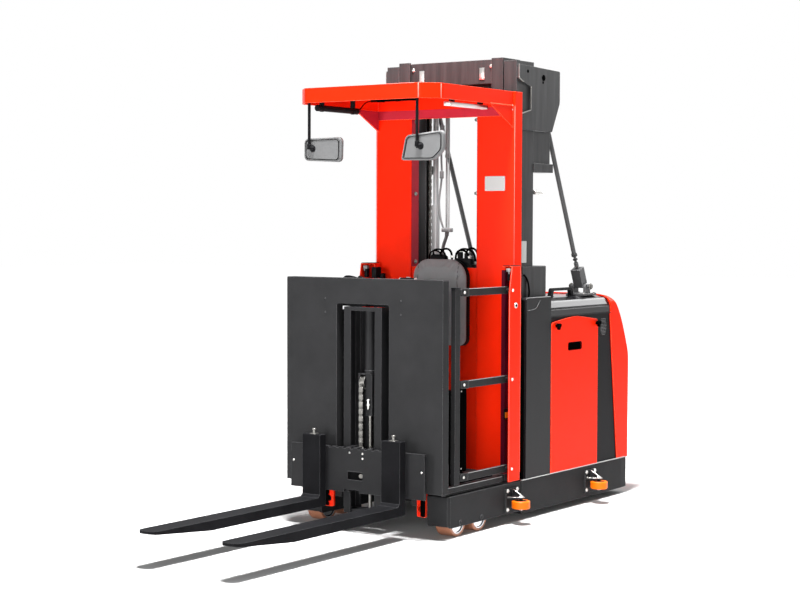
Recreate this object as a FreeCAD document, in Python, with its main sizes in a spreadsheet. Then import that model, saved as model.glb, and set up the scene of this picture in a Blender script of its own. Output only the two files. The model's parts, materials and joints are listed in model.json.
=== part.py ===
import FreeCAD, Part
import math
import operator
import os

import Sketcher

# Order picker, real size, millimetres. +X is the operator's side-to-side direction, the forks
# point along -Y, the battery and drive are at +Y, and Z = 0 is the floor.

DRIVING = {
    # chassis
    "chassis_half_width": 480,
    "chassis_top": 217,
    "skirt_bottom": 54,
    "leg_inner": 345,
    "leg_front": -264,
    "base_front": 446,
    "base_rear": 1705,
    "base_bottom": 36,
    "rear_end": 1725,
    "rear_corner": 55,
    # wheels and guide rollers
    "load_wheel_radius": 75,
    "load_wheel_width": 94,
    "load_wheel_front": -160,
    "load_wheel_rear": 45,
    "load_wheel_centre": 419,
    "axle_radius": 15,
    "drive_centre": 1390,
    "drive_wheel_radius": 115,
    "drive_wheel_width": 80,
    "guide_roller_radius": 50,
    "guide_roller_width": 42,
    "guide_roller_centre": 550,
    "guide_roller_height": 110,
    "guide_front": 328,
    "guide_rear": 1196,
    "guide_pin_radius": 10,
    # housing behind the mast
    "housing_half_width": 470,
    "housing_front": 758,
    "hood_underside": 1100,
    "hood_top": 1198,
    "fairing_front": 1450,
    "fairing_foot": 1552,
    "well_half_width": 156,
    "well_top": 690,
    "bay_front": 790,
    "bay_rear": 1222,
    "vent_front": 1344,
    "vent_bottom": 962,
    "vent_pitch": 8.4,
    "vent_count": 12,
    "column_front": 488,
    "column_rear": 754,
    "column_top": 1212,
    # mast
    "mast_rear": 633,
    "outer_rail_front": 453,
    "outer_rail_inner": 350,
    "outer_rail_outer": 430,
    "outer_mast_top": 2500,
    "inner_rail_front": 447,
    "inner_rail_inner": 272,
    "inner_rail_outer": 344,
    "inner_mast_top": 2518,
    "inner_mast_bottom": 236,
    "rail_wall": 14,
    "lift_cylinder_spread": 245,
    "lift_cylinder_centre": 676,
    "lift_barrel_radius": 23,
    "lift_barrel_top": 1720,
    "lift_rod_radius": 16,
    # operator platform
    "floor_top": 262,
    "floor_thickness": 28,
    "floor_half_width": 468,
    "upright_front": 388,
    "upright_inner": 218,
    "upright_outer": 460,
    "upright_depth": 75,
    "sheet": 6,
    "guard_top": 2326,
    "guard_bottom": 2248,
    "guard_front": -389,
    "guard_half_width": 449,
    "panel_half_width": 503,
    "panel_front": -362,
    "panel_depth": 54,
    "panel_bottom": 241,
    "panel_top": 1330,
    "slot_half_width": 169.5,
    "slot_top": 1196,
    "post_front": 276,
    "post_rear": 388,
    "post_top": 1388,
    # fork lift in front of the platform
    "aux_rail_inner": 78,
    "aux_rail_outer": 121,
    "aux_rail_rear": -262,
    "aux_mast_bottom": 96,
    "aux_mast_top": 1180,
    "carriage_half_width": 431,
    "carriage_front": -417,
    "carriage_bottom": 215,
    "carriage_top": 449,
    "sheave_centre": -311,
    "sheave_height": 782,
    "chain_pitch": 19.05,
    "fork_rod_centre": 15,
    "fork_rod_radius": 10,
    "fork_inner": 197.5,
    "fork_outer": 314,
    "fork_tip": -1724,
    "fork_thickness": 50,
    "fork_bottom": 128,
    "shank_top": 508,
    # side gates
    "gate_pivot_rear": 308,
    "gate_pivot_front": -107,
    "gate_rail_height": 38,
    "gate_rail_inner": 448,
    "gate_rail_outer": 466,
    "gate_bar_inner": 444,
    "gate_bar_outer": 470,
    "gate_bar_front": -198,
    "gate_bar_depth": 45,
    "gate_top_rail": 1260,
    "gate_mid_rail": 782,
    "gate_low_rail": 300,
    "gate_pin_radius": 8,
}
PIN_CLEARANCE = 0.05
ROLLER_CLEARANCE = 6

doc = FreeCAD.newDocument("OrderPicker")
sheet = doc.addObject("Spreadsheet::Sheet", "Sizes")
for row, (alias, number) in enumerate(DRIVING.items(), 1):
    sheet.set(f"A{row}", alias)
    sheet.set(f"B{row}", str(number))
    sheet.setAlias(f"B{row}", alias)
doc.recompute()


class Size:
    """A number from the sheet together with the expression that follows the sheet."""

    def __init__(self, text, number):
        self.text = text
        self.number = number

    def join(self, sign, other, swap=False):
        other = as_size(other)
        left, right = (other, self) if swap else (self, other)
        work = {"+": operator.add, "-": operator.sub, "*": operator.mul, "/": operator.truediv}
        return Size(f"({left.text} {sign} {right.text})", work[sign](left.number, right.number))

    def __add__(self, other):
        return self.join("+", other)

    def __radd__(self, other):
        return self.join("+", other, swap=True)

    def __sub__(self, other):
        return self.join("-", other)

    def __rsub__(self, other):
        return self.join("-", other, swap=True)

    def __mul__(self, other):
        return self.join("*", other)

    __rmul__ = __mul__

    def __truediv__(self, other):
        return self.join("/", other)

    def __neg__(self):
        return self * -1


def as_size(value):
    return value if isinstance(value, Size) else Size(repr(value), value)


class Sheet:
    """Reads like the sheet: s.floor_top is that cell's Size."""

    def __getattr__(self, alias):
        return Size(f"Sizes.{alias}", float(getattr(sheet, alias)))


s = Sheet()
nodes = []


def bind(thing, prop, value):
    """Sets a property, following the sheet where the value does."""
    if isinstance(value, Size):
        thing.setExpression(prop, value.text)
    else:
        thing.setExpression(prop, repr(float(value)))


def node(thing, label):
    """Names a finished sub-part, which is then written to its own file."""
    thing.Label = label
    nodes.append(thing)
    return thing


def origin_plane(body, role):
    for feature in body.Origin.OriginFeatures:
        if feature.Role == role:
            return feature
    raise ValueError(role)


def add_sketch(body, plane, level):
    """A sketch on the body's own XY, XZ or YZ plane, moved along its normal to a level."""
    sketch = body.newObject("Sketcher::SketchObject", "Outline")
    sketch.AttachmentSupport = [(origin_plane(body, plane + "_Plane"), "")]
    sketch.MapMode = "FlatFace"
    bind(sketch, "AttachmentOffset.Base.z", -level if plane == "XZ" else level)
    return sketch


def draw_polygon(sketch, corners):
    """Closed run of lines whose corners are held at sizes from the sheet."""
    points = [FreeCAD.Vector(as_size(c[0]).number, as_size(c[1]).number, 0) for c in corners]
    first = sketch.GeometryCount
    count = len(points)
    for index in range(count):
        sketch.addGeometry(Part.LineSegment(points[index], points[(index + 1) % count]), False)
    for index in range(count):
        following = first + (index + 1) % count
        sketch.addConstraint(Sketcher.Constraint("Coincident", first + index, 2, following, 1))
    for index, corner in enumerate(corners):
        for kind, value in zip(("DistanceX", "DistanceY"), corner):
            number = as_size(value).number
            held = sketch.addConstraint(Sketcher.Constraint(kind, -1, 1, first + index, 1, number))
            bind(sketch, f"Constraints[{held}]", value)


def draw_circle(sketch, centre, radius):
    middle = [as_size(value) for value in centre]
    size = as_size(radius)
    place = FreeCAD.Vector(middle[0].number, middle[1].number, 0)
    circle = sketch.addGeometry(Part.Circle(place, FreeCAD.Vector(0, 0, 1), size.number), False)
    for kind, value in zip(("DistanceX", "DistanceY"), middle):
        held = sketch.addConstraint(Sketcher.Constraint(kind, -1, 1, circle, 3, value.number))
        bind(sketch, f"Constraints[{held}]", value)
    held = sketch.addConstraint(Sketcher.Constraint("Radius", circle, size.number))
    bind(sketch, f"Constraints[{held}]", size)


def extrude(body, kind, plane, low, high, draw):
    """Pads or pockets what draw() puts in a sketch, between two levels along the plane's normal."""
    cutting = kind == "Pocket"
    start = high if (plane == "XZ") != cutting else low
    sketch = add_sketch(body, plane, start)
    draw(sketch)
    feature = body.newObject("PartDesign::" + kind, kind)
    feature.Profile = sketch
    bind(feature, "Length", as_size(high) - low)
    doc.recompute()
    return feature


def round_corners(body, plane, corners):
    """Fillets the straight edges that stand on the corners which carry a radius."""
    axes = {"XY": (0, 1, 2), "XZ": (0, 2, 1), "YZ": (1, 2, 0)}[plane]
    radii = {}
    for corner in corners:
        if len(corner) == 3:
            radii.setdefault(corner[2], []).append([as_size(value).number for value in corner[:2]])
    for radius, places in radii.items():
        base = body.Tip
        names = []
        for index, edge in enumerate(base.Shape.Edges, 1):
            ends = [vertex.Point for vertex in edge.Vertexes]
            if len(ends) != 2 or abs(ends[0][axes[2]] - ends[1][axes[2]]) < 1:
                continue
            for place in places:
                away = [abs(end[axes[i]] - place[i]) for end in ends for i in (0, 1)]
                if max(away) < 0.01:
                    names.append(f"Edge{index}")
        fillet = body.newObject("PartDesign::Fillet", "Fillet")
        fillet.Base = (base, names)
        bind(fillet, "Radius", radius)
        doc.recompute()
        if "Invalid" in fillet.State:
            raise RuntimeError(f"{body.Label}: no fillet of {as_size(radius).number} on {names}")


def polygon_feature(body, kind, plane, corners, low, high):
    bare = [corner[:2] for corner in corners]
    extrude(body, kind, plane, low, high, lambda sketch: draw_polygon(sketch, bare))
    round_corners(body, plane, corners)


def prism(name, plane, corners, low, high):
    """A new body: an outline of (a, b) or (a, b, fillet radius) corners, given a thickness."""
    body = doc.addObject("PartDesign::Body", name)
    polygon_feature(body, "Pad", plane, corners, low, high)
    return body


def add_prism(body, plane, corners, low, high):
    polygon_feature(body, "Pad", plane, corners, low, high)


def cut_prism(body, plane, corners, low, high):
    polygon_feature(body, "Pocket", plane, corners, low, high)


def add_disc(body, plane, centre, radius, low, high):
    extrude(body, "Pad", plane, low, high, lambda sketch: draw_circle(sketch, centre, radius))


def cut_disc(body, plane, centre, radius, low, high):
    extrude(body, "Pocket", plane, low, high, lambda sketch: draw_circle(sketch, centre, radius))


def repeat_up(body, pitch, count):
    """Repeats the last feature upwards, a pitch apart."""
    feature = body.Tip
    pattern = body.newObject("PartDesign::LinearPattern", "Pattern")
    pattern.Originals = [feature]
    pattern.Direction = (origin_plane(body, "Z_Axis"), [""])
    bind(pattern, "Length", pitch * (count - 1))
    pattern.Occurrences = int(count.number)
    body.Tip = pattern
    doc.recompute()


def rectangle(low_a, high_a, low_b, high_b):
    return [(low_a, low_b), (high_a, low_b), (high_a, high_b), (low_a, high_b)]


def add_box(body, x, y, z):
    add_prism(body, "XY", rectangle(*x, *y), *z)


def cut_box(body, x, y, z):
    cut_prism(body, "XY", rectangle(*x, *y), *z)


def gather(label, *bodies):
    """Puts simple touching solids of one piece together under its node's name."""
    piece = doc.addObject("Part::Compound", "Piece")
    piece.Links = list(bodies)
    node(piece, label)


def pair(half, label):
    """The half and its mirror image across the truck's middle, as one node."""
    other = doc.addObject("Part::Mirroring", "Mirrored")
    other.Source = half
    other.Normal = FreeCAD.Vector(1, 0, 0)
    both = doc.addObject("Part::Compound", "Pair")
    both.Links = [half, other]
    half.Label = label + "_right_half"
    other.Label = label + "_left_half"
    return node(both, label)


def revolved(name, profile, place, turn):
    """A body turned about its own X axis from (along, radius) corners, then put in place."""
    body = doc.addObject("PartDesign::Body", name)
    sketch = add_sketch(body, "XY", 0)
    draw_polygon(sketch, profile)
    feature = body.newObject("PartDesign::Revolution", "Revolution")
    feature.Profile = sketch
    feature.ReferenceAxis = (sketch, ["H_Axis"])
    feature.Angle = 360
    body.Placement = FreeCAD.Placement(FreeCAD.Vector(), turn)
    for axis, value in zip("xyz", place):
        bind(body, f"Placement.Base.{axis}", value)
    doc.recompute()
    return body


ALONG_X = FreeCAD.Rotation()
ALONG_Z = FreeCAD.Rotation(FreeCAD.Vector(0, 1, 0), -90)


def tube_between(start, end, radius):
    """A round bar between two points, for what slants."""
    run = end - start
    return Part.makeCylinder(radius, run.Length, start, run)


# ---------------------------------------------------------------- chassis

def chassis_legs():
    """Hollow straddle legs, open below over the tandem load wheels, with their axles."""
    corners = [
        (s.leg_front, s.skirt_bottom, 20),
        (s.leg_front, s.chassis_top, 8),
        (s.base_front, s.chassis_top),
        (s.base_front, s.skirt_bottom),
    ]
    leg = prism("Leg", "YZ", corners, s.leg_inner, s.chassis_half_width)
    side = s.chassis_half_width
    cut_prism(
        leg, "XY", [(side - 12, s.leg_front), (side, s.leg_front), (side, s.leg_front + 12)],
        s.skirt_bottom, s.chassis_top,
    )
    wheel_room = s.load_wheel_radius + 9
    cut_box(
        leg,
        (s.leg_inner + 20, s.chassis_half_width - 8),
        (s.leg_front + 6, s.load_wheel_rear + wheel_room),
        (s.skirt_bottom, s.chassis_top - 20),
    )
    for centre in (s.load_wheel_front, s.load_wheel_rear):
        add_disc(
            leg, "YZ", (centre, s.load_wheel_radius), s.axle_radius,
            s.leg_inner + 10, s.chassis_half_width - 2,
        )
    pair(leg, "chassis_legs")


def chassis_base():
    """Rear of the frame, pulled in towards the back, round a square steering well."""
    half_width = s.chassis_half_width
    well = s.well_half_width
    side = [
        (well, s.base_front),
        (half_width, s.base_front),
        (half_width, s.fairing_front - 60),
        (half_width - 5, s.base_rear - 100),
        (half_width - 15, s.base_rear, 34),
        (well, s.base_rear),
    ]
    low, high = s.base_bottom, s.chassis_top
    right = prism("SideRight", "XY", side, low, high)
    left = prism("SideLeft", "XY", mirror_x(side), low, high)
    front = prism("Front", "XY", rectangle(-well, well, s.base_front, s.drive_centre - well), low, high)
    rear = prism("Rear", "XY", rectangle(-well, well, s.drive_centre + well, s.base_rear), low, high)
    gather("chassis_base", right, left, front, rear)


def power_housing():
    """Dark housing behind the mast: battery bay open to both sides, drive compartment behind."""
    floor = s.chassis_top
    top = s.hood_underside
    side = s.housing_half_width
    well = s.well_half_width
    roof = top - 40
    lean = (s.fairing_foot - s.fairing_front) / (top - floor)
    wall = s.fairing_foot - 11

    def tail(height):
        return s.fairing_foot - lean * (height - floor)

    front = prism("FrontWall", "YZ", rectangle(s.housing_front, s.bay_front, floor, roof), -side, side)
    sill = prism("BayFloor", "YZ", rectangle(s.bay_front, s.bay_rear, floor, floor + 18), -side, side)
    lid = prism(
        "Roof", "YZ",
        [(s.housing_front, roof), (s.housing_front, top), (s.fairing_front, top), (tail(roof), roof)],
        -side, side,
    )
    cheek = [(s.bay_rear, floor), (s.bay_rear, roof), (tail(roof), roof), (s.fairing_foot, floor)]
    right = prism("RightCheek", "YZ", cheek, well, side)
    left = prism("LeftCheek", "YZ", cheek, -side, -well)
    slot = rectangle(s.vent_front, s.vent_front + 72, s.vent_bottom, s.vent_bottom + 4)
    for body, low in ((right, side - 6), (left, -side)):
        cut_prism(body, "YZ", slot, low, low + 6)
        repeat_up(body, s.vent_pitch, s.vent_count)
    over = s.well_top
    block = [(s.bay_rear, over), (s.bay_rear, roof), (tail(roof), roof), (tail(over), over)]
    above = prism("AboveDrive", "YZ", block, -well, well)
    before = prism("BeforeDrive", "YZ", rectangle(s.bay_rear, s.bay_rear + 14, floor, over), -well, well)
    back = [
        (wall, floor), (s.fairing_foot, floor), (tail(over), over), (tail(over) - 11, over),
    ]
    behind = prism("BehindDrive", "YZ", back, -well, well)
    gather("power_housing", front, sill, lid, right, left, above, before, behind)


def battery():
    """The traction battery, a plain heavy block in its bay."""
    block = prism(
        "Battery", "YZ",
        rectangle(s.bay_front + 12, s.bay_rear - 12, s.chassis_top + 18, s.hood_underside - 60),
        -s.housing_half_width + 20, s.housing_half_width - 20,
    )
    node(block, "battery_block")
    door_low = s.bay_front - 30
    door_high = s.bay_rear + 71
    shoulder = s.hood_underside - 36
    corners = [
        (door_low, s.chassis_top + 3),
        (door_high, s.chassis_top + 3),
        (door_high, shoulder, 26),
        ((door_low + door_high) * 0.5, shoulder + 30, 700),
        (door_low, shoulder, 26),
    ]
    skin = s.housing_half_width + 12
    door = prism("Door", "YZ", corners, s.housing_half_width, skin)
    grip = [(946, 902, 8), (1097, 902, 8), (1097, 942, 8), (946, 942, 8)]
    cut_prism(door, "YZ", grip, skin - 8, skin)
    pair(door, "battery_doors")


def hood_section(low_z):
    """Front view of the hood: a lip at the sides, a shoulder that rolls over, and a flat top."""
    side = s.housing_half_width + 6
    right = [
        (side, low_z),
        (side, s.hood_top - 63, 4),
        (side - 7, s.hood_top - 61, 3),
        (side - 7, s.hood_top - 52, 6),
        (side - 28, s.hood_top - 16, 30),
        (side - 90, s.hood_top, 60),
    ]
    return right + [(-corner[0],) + corner[1:] for corner in reversed(right)]


def hood_cover():
    hood = prism(
        "Hood", "XZ", hood_section(s.hood_underside), s.housing_front, s.fairing_front,
    )
    node(hood, "hood_cover")
    handle = prism(
        "Handle", "YZ",
        [(952, s.hood_top), (1216, s.hood_top), (1198, s.hood_top + 50, 18), (970, s.hood_top + 50, 18)],
        338, 362,
    )
    cut_prism(
        handle, "YZ",
        [(976, s.hood_top), (1192, s.hood_top), (1180, s.hood_top + 34), (988, s.hood_top + 34)],
        338, 362,
    )
    node(handle, "battery_handle")


def rear_fairing():
    """Red tail: a side profile curved in a spline, kept inside a plan with rounded corners."""
    front = s.fairing_front.number
    foot = s.fairing_foot.number
    floor_line = s.chassis_top.number
    top = s.hood_top.number
    end = s.rear_end.number
    back = [
        (end - 16, floor_line),
        (end - 3, floor_line + 150),
        (end, floor_line + 340),
        (end - 30, top - 400),
        (end - 84, top - 250),
        (end - 150, top - 116),
        (end - 206, top - 44),
        (end - 262, top - 3),
    ]
    spline = Part.BSplineCurve()
    spline.interpolate([FreeCAD.Vector(0, y, z) for y, z in back])
    outline = [
        back[-1],
        (front, top),
        (front, s.hood_underside.number),
        (foot, floor_line),
        back[0],
    ]
    lines = [
        Part.makeLine(FreeCAD.Vector(0, *a), FreeCAD.Vector(0, *b))
        for a, b in zip(outline, outline[1:])
    ]
    face = Part.Face(Part.Wire([spline.toShape()] + lines))
    half = s.housing_half_width.number + 6
    side_view = face.extrude(FreeCAD.Vector(2 * half + 20, 0, 0))
    side_view.translate(FreeCAD.Vector(-half - 10, 0, 0))
    plan_view = Part.makeBox(2 * half, end + 1 - front, top, FreeCAD.Vector(-half, front, 0))
    corners = [
        edge for edge in plan_view.Edges
        if abs(edge.tangentAt(0).z) > 0.9 and edge.Vertexes[0].Y > end
    ]
    plan_view = plan_view.makeFillet(s.rear_corner.number, corners)
    crown = Part.makeBox(2 * half, end + 1 - front, top + 10, FreeCAD.Vector(-half, front, -10))
    ridges = [
        edge for edge in crown.Edges
        if abs(edge.tangentAt(0).y) > 0.9 and edge.Vertexes[0].Z > top - 1
    ]
    crown = crown.makeFillet(58, ridges)
    fairing = doc.addObject("Part::Feature", "Fairing")
    fairing.Shape = side_view.common(plan_view).common(crown)
    node(fairing, "rear_fairing")


def column_covers():
    """Black covers on the chassis sides beside the mast."""
    corners = [
        (s.column_front, s.chassis_top),
        (s.column_rear, s.chassis_top),
        (s.column_rear, s.column_top, 14),
        (s.column_front, s.column_top, 14),
    ]
    outer = s.chassis_half_width
    cover = prism("Cover", "YZ", corners, s.outer_rail_outer + 6, outer)
    cut_box(
        cover,
        (s.outer_rail_outer + 6, outer - 6),
        (s.column_front + 6, s.column_rear - 6),
        (s.chassis_top, s.column_top - 6),
    )
    pair(cover, "column_covers")


def roller_brackets():
    """Bolted plates with a shelf and a gusset; each guide roller hangs on a pin below its shelf."""
    side = s.chassis_half_width
    height = s.guide_roller_height
    pin_x = s.guide_roller_centre
    shelf = height + 32
    halves = []
    for centre in (s.guide_front, s.guide_rear):
        back_plate = [
            (centre - 54, height - 48, 6), (centre + 78, height - 48, 6),
            (centre + 78, height + 82, 6), (centre - 54, height + 82, 6),
        ]
        bracket = prism("Bracket", "YZ", back_plate, side, side + 10)
        ledge = [
            (side + 8, centre - 40), (pin_x + 16, centre - 18, 12),
            (pin_x + 16, centre + 18, 12), (side + 8, centre + 60),
        ]
        add_prism(bracket, "XY", ledge, shelf, shelf + 7)
        gusset = [(side + 8, height + 76), (side + 8, shelf + 5), (pin_x + 8, shelf + 5)]
        add_prism(bracket, "XZ", gusset, centre + 13, centre + 21)
        add_disc(bracket, "XY", (pin_x, centre), s.guide_pin_radius, height - 30, shelf + 5)
        halves.append(bracket)
    mirrored = []
    for bracket in halves:
        other = doc.addObject("Part::Mirroring", "Mirrored")
        other.Source = bracket
        other.Normal = FreeCAD.Vector(1, 0, 0)
        mirrored.append(other)
    both = doc.addObject("Part::Compound", "Brackets")
    both.Links = halves + mirrored
    node(both, "roller_brackets")


def wheels():
    """Load wheels, guide rollers and the steered drive wheel with its yoke."""
    half = s.load_wheel_width * 0.5
    radius = s.load_wheel_radius
    bore = s.axle_radius + PIN_CLEARANCE
    tyre = [
        (-half, radius - 5), (-half + 5, radius), (half - 5, radius), (half, radius - 5),
        (half, bore), (-half, bore),
    ]
    for side, sign in (("left", -1), ("right", 1)):
        for end, centre in (("front", s.load_wheel_front), ("rear", s.load_wheel_rear)):
            place = (s.load_wheel_centre * sign, centre, radius)
            node(revolved("LoadWheel", tyre, place, ALONG_X), f"load_wheel_{end}_{side}")
        for end, centre in (("front", s.guide_front), ("rear", s.guide_rear)):
            half_height = s.guide_roller_width * 0.5
            roll = s.guide_roller_radius
            pin = s.guide_pin_radius + PIN_CLEARANCE
            profile = [
                (-half_height, roll - 3), (-half_height + 3, roll),
                (half_height - 3, roll), (half_height, roll - 3),
                (half_height, pin), (-half_height, pin),
            ]
            place = (s.guide_roller_centre * sign, centre, s.guide_roller_height)
            node(revolved("GuideRoller", profile, place, ALONG_Z), f"guide_roller_{end}_{side}")
    wide = s.drive_wheel_width * 0.5
    drive = s.drive_wheel_radius
    profile = [
        (-wide, drive - 8), (-wide + 8, drive), (wide - 8, drive), (wide, drive - 8),
        (wide, 20 + PIN_CLEARANCE), (-wide, 20 + PIN_CLEARANCE),
    ]
    node(revolved("DriveWheel", profile, (0, s.drive_centre, drive), ALONG_X), "drive_wheel")
    yoke = doc.addObject("PartDesign::Body", "Yoke")
    add_disc(yoke, "XY", (0, s.drive_centre), 138, drive * 2 + 10, drive * 2 + 40)
    add_disc(yoke, "XY", (0, s.drive_centre), 88, drive * 2 + 40, drive * 2 + 380)
    for low, high in ((46, 62), (-62, -46)):
        cheek = [
            (s.drive_centre - 50, drive * 2 + 10), (s.drive_centre - 34, drive - 34, 20),
            (s.drive_centre + 34, drive - 34, 20), (s.drive_centre + 50, drive * 2 + 10),
        ]
        add_prism(yoke, "YZ", cheek, low, high)
    add_disc(yoke, "YZ", (s.drive_centre, drive), 20, -60, 60)
    node(yoke, "drive_yoke")


# ---------------------------------------------------------------- mast

def channel_section(inner, outer, front, rear, wall):
    """Plan of a mast rail: a channel that opens towards the truck's middle."""
    return [
        (outer, front), (outer, rear), (inner, rear), (inner, rear - wall),
        (outer - wall, rear - wall), (outer - wall, front + wall), (inner, front + wall),
        (inner, front),
    ]


def mirror_x(corners):
    return [(-corner[0],) + tuple(corner[1:]) for corner in reversed(corners)]


def outer_mast():
    """Fixed mast: two channels tied by cross members behind them."""
    rail = channel_section(
        s.outer_rail_inner, s.outer_rail_outer, s.outer_rail_front, s.mast_rear, s.rail_wall,
    )
    mast = prism("OuterMast", "XY", rail, s.chassis_top, s.outer_mast_top)
    add_prism(mast, "XY", mirror_x(rail), s.chassis_top, s.outer_mast_top)
    outer = s.outer_rail_outer
    for low, high in ((240, 340), (1240, 1320), (2300, 2416)):
        add_box(mast, (-outer, outer), (s.mast_rear, s.mast_rear + 12), (low, high))
    node(mast, "outer_mast")


def mast_head():
    """Side gussets and a rear beam at the top of the fixed mast, for the stays."""
    top = s.outer_mast_top
    web = s.outer_rail_outer
    rear = s.mast_rear + 269
    profile = [
        (s.outer_rail_front + 4, top - 20, 6), (rear, top - 32, 10), (rear, top - 210, 60),
        (rear - 84, top - 374, 10), (s.outer_rail_front + 30, top - 374),
        (s.outer_rail_front + 30, top - 288, 8), (s.mast_rear - 45, top - 264, 12),
        (s.mast_rear - 45, top - 135, 12), (s.outer_rail_front + 56, top - 114),
        (s.outer_rail_front + 4, top - 98, 6),
    ]
    head = prism("Head", "YZ", profile, web, web + 10)
    add_prism(head, "YZ", profile, -web - 10, -web)
    add_box(head, (-web, web), (rear - 115, rear), (top - 165, top - 153))
    add_box(head, (-web, web), (rear - 12, rear), (top - 165, top - 40))
    node(head, "mast_head")


def mast_brackets():
    """Boxes on the outer faces of the fixed mast, below the head and above the hood."""
    web = s.outer_rail_outer
    rear = s.mast_rear
    upper = prism(
        "UpperBox", "YZ",
        rectangle(rear, rear + 185, s.outer_mast_top - 552, s.outer_mast_top - 374),
        web - 60, web - 4,
    )
    shelf = (s.outer_mast_top - 600, s.outer_mast_top - 552)
    add_box(upper, (web - 90, web + 6), (rear, rear + 205), shelf)
    pair(upper, "mast_brackets")
    lower = prism(
        "FootBox", "YZ",
        [
            (rear + 12, s.hood_top), (rear + 145, s.hood_top),
            (rear + 145, s.hood_top + 184, 8), (rear + 12, s.hood_top + 184, 8),
        ],
        web - 90, web,
    )
    top = s.hood_top + 184
    cheek = [
        (rear - 118, top - 2), (rear - 118, top - 42), (rear - 73, top - 62),
        (rear - 73, s.column_top + 2), (rear + 120, s.column_top + 2), (rear + 120, top - 2),
    ]
    add_prism(lower, "YZ", cheek, web, web + 8)
    pair(lower, "mast_foot_boxes")


def mast_stays():
    """Slanting tubes from the head to turnbuckles, tilted sleeves and clevises on the hood."""
    x = 355
    top = FreeCAD.Vector(x, s.mast_rear.number + 203, s.outer_mast_top.number - 172)
    foot = FreeCAD.Vector(x, 1312, s.hood_top.number + 52)
    way = (foot - top).normalize()
    knee = foot - way * 205
    turn = FreeCAD.Rotation(FreeCAD.Vector(0, 0, -1), way)
    sleeve = Part.makeBox(60, 56, 104, FreeCAD.Vector(-30, -28, 10))
    sleeve.Placement = FreeCAD.Placement(foot, turn)
    pieces = [
        tube_between(top, knee, 13),
        tube_between(knee - way, foot - way * 60, 8),
        tube_between(foot - way * 152, foot - way * 128, 13),
        sleeve,
        Part.makeBox(120, 150, 12, FreeCAD.Vector(x - 60, foot.y - 70, s.hood_top.number)),
        Part.makeCylinder(11, 124, FreeCAD.Vector(x - 62, foot.y, foot.z), FreeCAD.Vector(1, 0, 0)),
    ]
    for side in (-46, 32):
        ear = Part.makeBox(14, 60, 66, FreeCAD.Vector(x + side, foot.y - 30, s.hood_top.number))
        rounded = [
            edge for edge in ear.Edges
            if abs(edge.tangentAt(0).x) > 0.9 and edge.Vertexes[0].Z > foot.z
        ]
        pieces.append(ear.makeFillet(22, rounded))
    stay = pieces[0].fuse(pieces[1:]).removeSplitter()
    stays = doc.addObject("Part::Feature", "Stays")
    mirrored = stay.mirror(FreeCAD.Vector(), FreeCAD.Vector(1, 0, 0))
    stays.Shape = Part.makeCompound([stay, mirrored])
    node(stays, "mast_stays")


def lift_cylinders():
    spread = s.lift_cylinder_spread
    centre = s.lift_cylinder_centre
    bore = s.lift_rod_radius + PIN_CLEARANCE
    foot = s.chassis_top
    barrel = doc.addObject("PartDesign::Body", "Barrel")
    add_disc(barrel, "XY", (spread, centre), s.lift_barrel_radius, foot, s.lift_barrel_top)
    cut_disc(barrel, "XY", (spread, centre), bore, foot + 6, s.lift_barrel_top)
    pair(barrel, "lift_barrels")
    rod = doc.addObject("PartDesign::Body", "Rod")
    add_disc(
        rod, "XY", (spread, centre), s.lift_rod_radius, foot + 12, s.inner_mast_top - 90,
    )
    pair(rod, "lift_rods")


def inner_mast():
    """Moving mast: channels with rollers in the fixed rails, and cross members."""
    front = s.inner_rail_front
    rear = s.mast_rear - 6
    rail = channel_section(s.inner_rail_inner, s.inner_rail_outer, front, rear, s.rail_wall)
    low = s.inner_mast_bottom
    top = s.inner_mast_top
    mast = prism("InnerMast", "XY", rail, low, top)
    add_prism(mast, "XY", mirror_x(rail), low, top)
    inner = s.inner_rail_inner
    add_box(mast, (-inner, inner), (front + 18, front + 32), (top - 136, top - 6))
    add_box(mast, (-inner, inner), (rear - 14, rear), (low, low + 90))
    add_box(mast, (-inner, inner), (rear - 14, rear), (top - 250, top - 150))
    shelf_front = front + 18
    add_box(mast, (-inner, inner), (shelf_front, s.lift_cylinder_centre + 26), (top - 90, top - 66))
    roller = (s.mast_rear - s.outer_rail_front) * 0.5 - s.rail_wall - ROLLER_CLEARANCE
    middle = (s.mast_rear + s.outer_rail_front) * 0.5
    outer = s.inner_rail_outer
    for height in (low + 90, low + 480):
        for start, end in ((outer, outer + 58), (-outer - 58, -outer)):
            add_disc(mast, "YZ", (middle, height), roller, start, end)
    node(mast, "inner_mast")


# ---------------------------------------------------------------- operator platform

def mast_carriage():
    """Plates with rollers that carry the platform on the inner mast."""
    inner = s.inner_rail_inner
    front = s.upright_front + s.sheet
    rear = s.mast_rear - 40
    plate = prism(
        "CarriagePlate", "YZ", rectangle(front, rear, s.floor_top, s.floor_top + 340),
        inner - 22, inner - 10,
    )
    roller = (s.mast_rear - 6 - s.inner_rail_front) * 0.5 - s.rail_wall - ROLLER_CLEARANCE
    middle = (s.mast_rear - 6 + s.inner_rail_front) * 0.5
    for height in (s.floor_top + 70, s.floor_top + 280):
        add_disc(plate, "YZ", (middle, height), roller, inner - 10, s.inner_rail_outer - 20)
    pair(plate, "mast_carriage")


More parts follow.
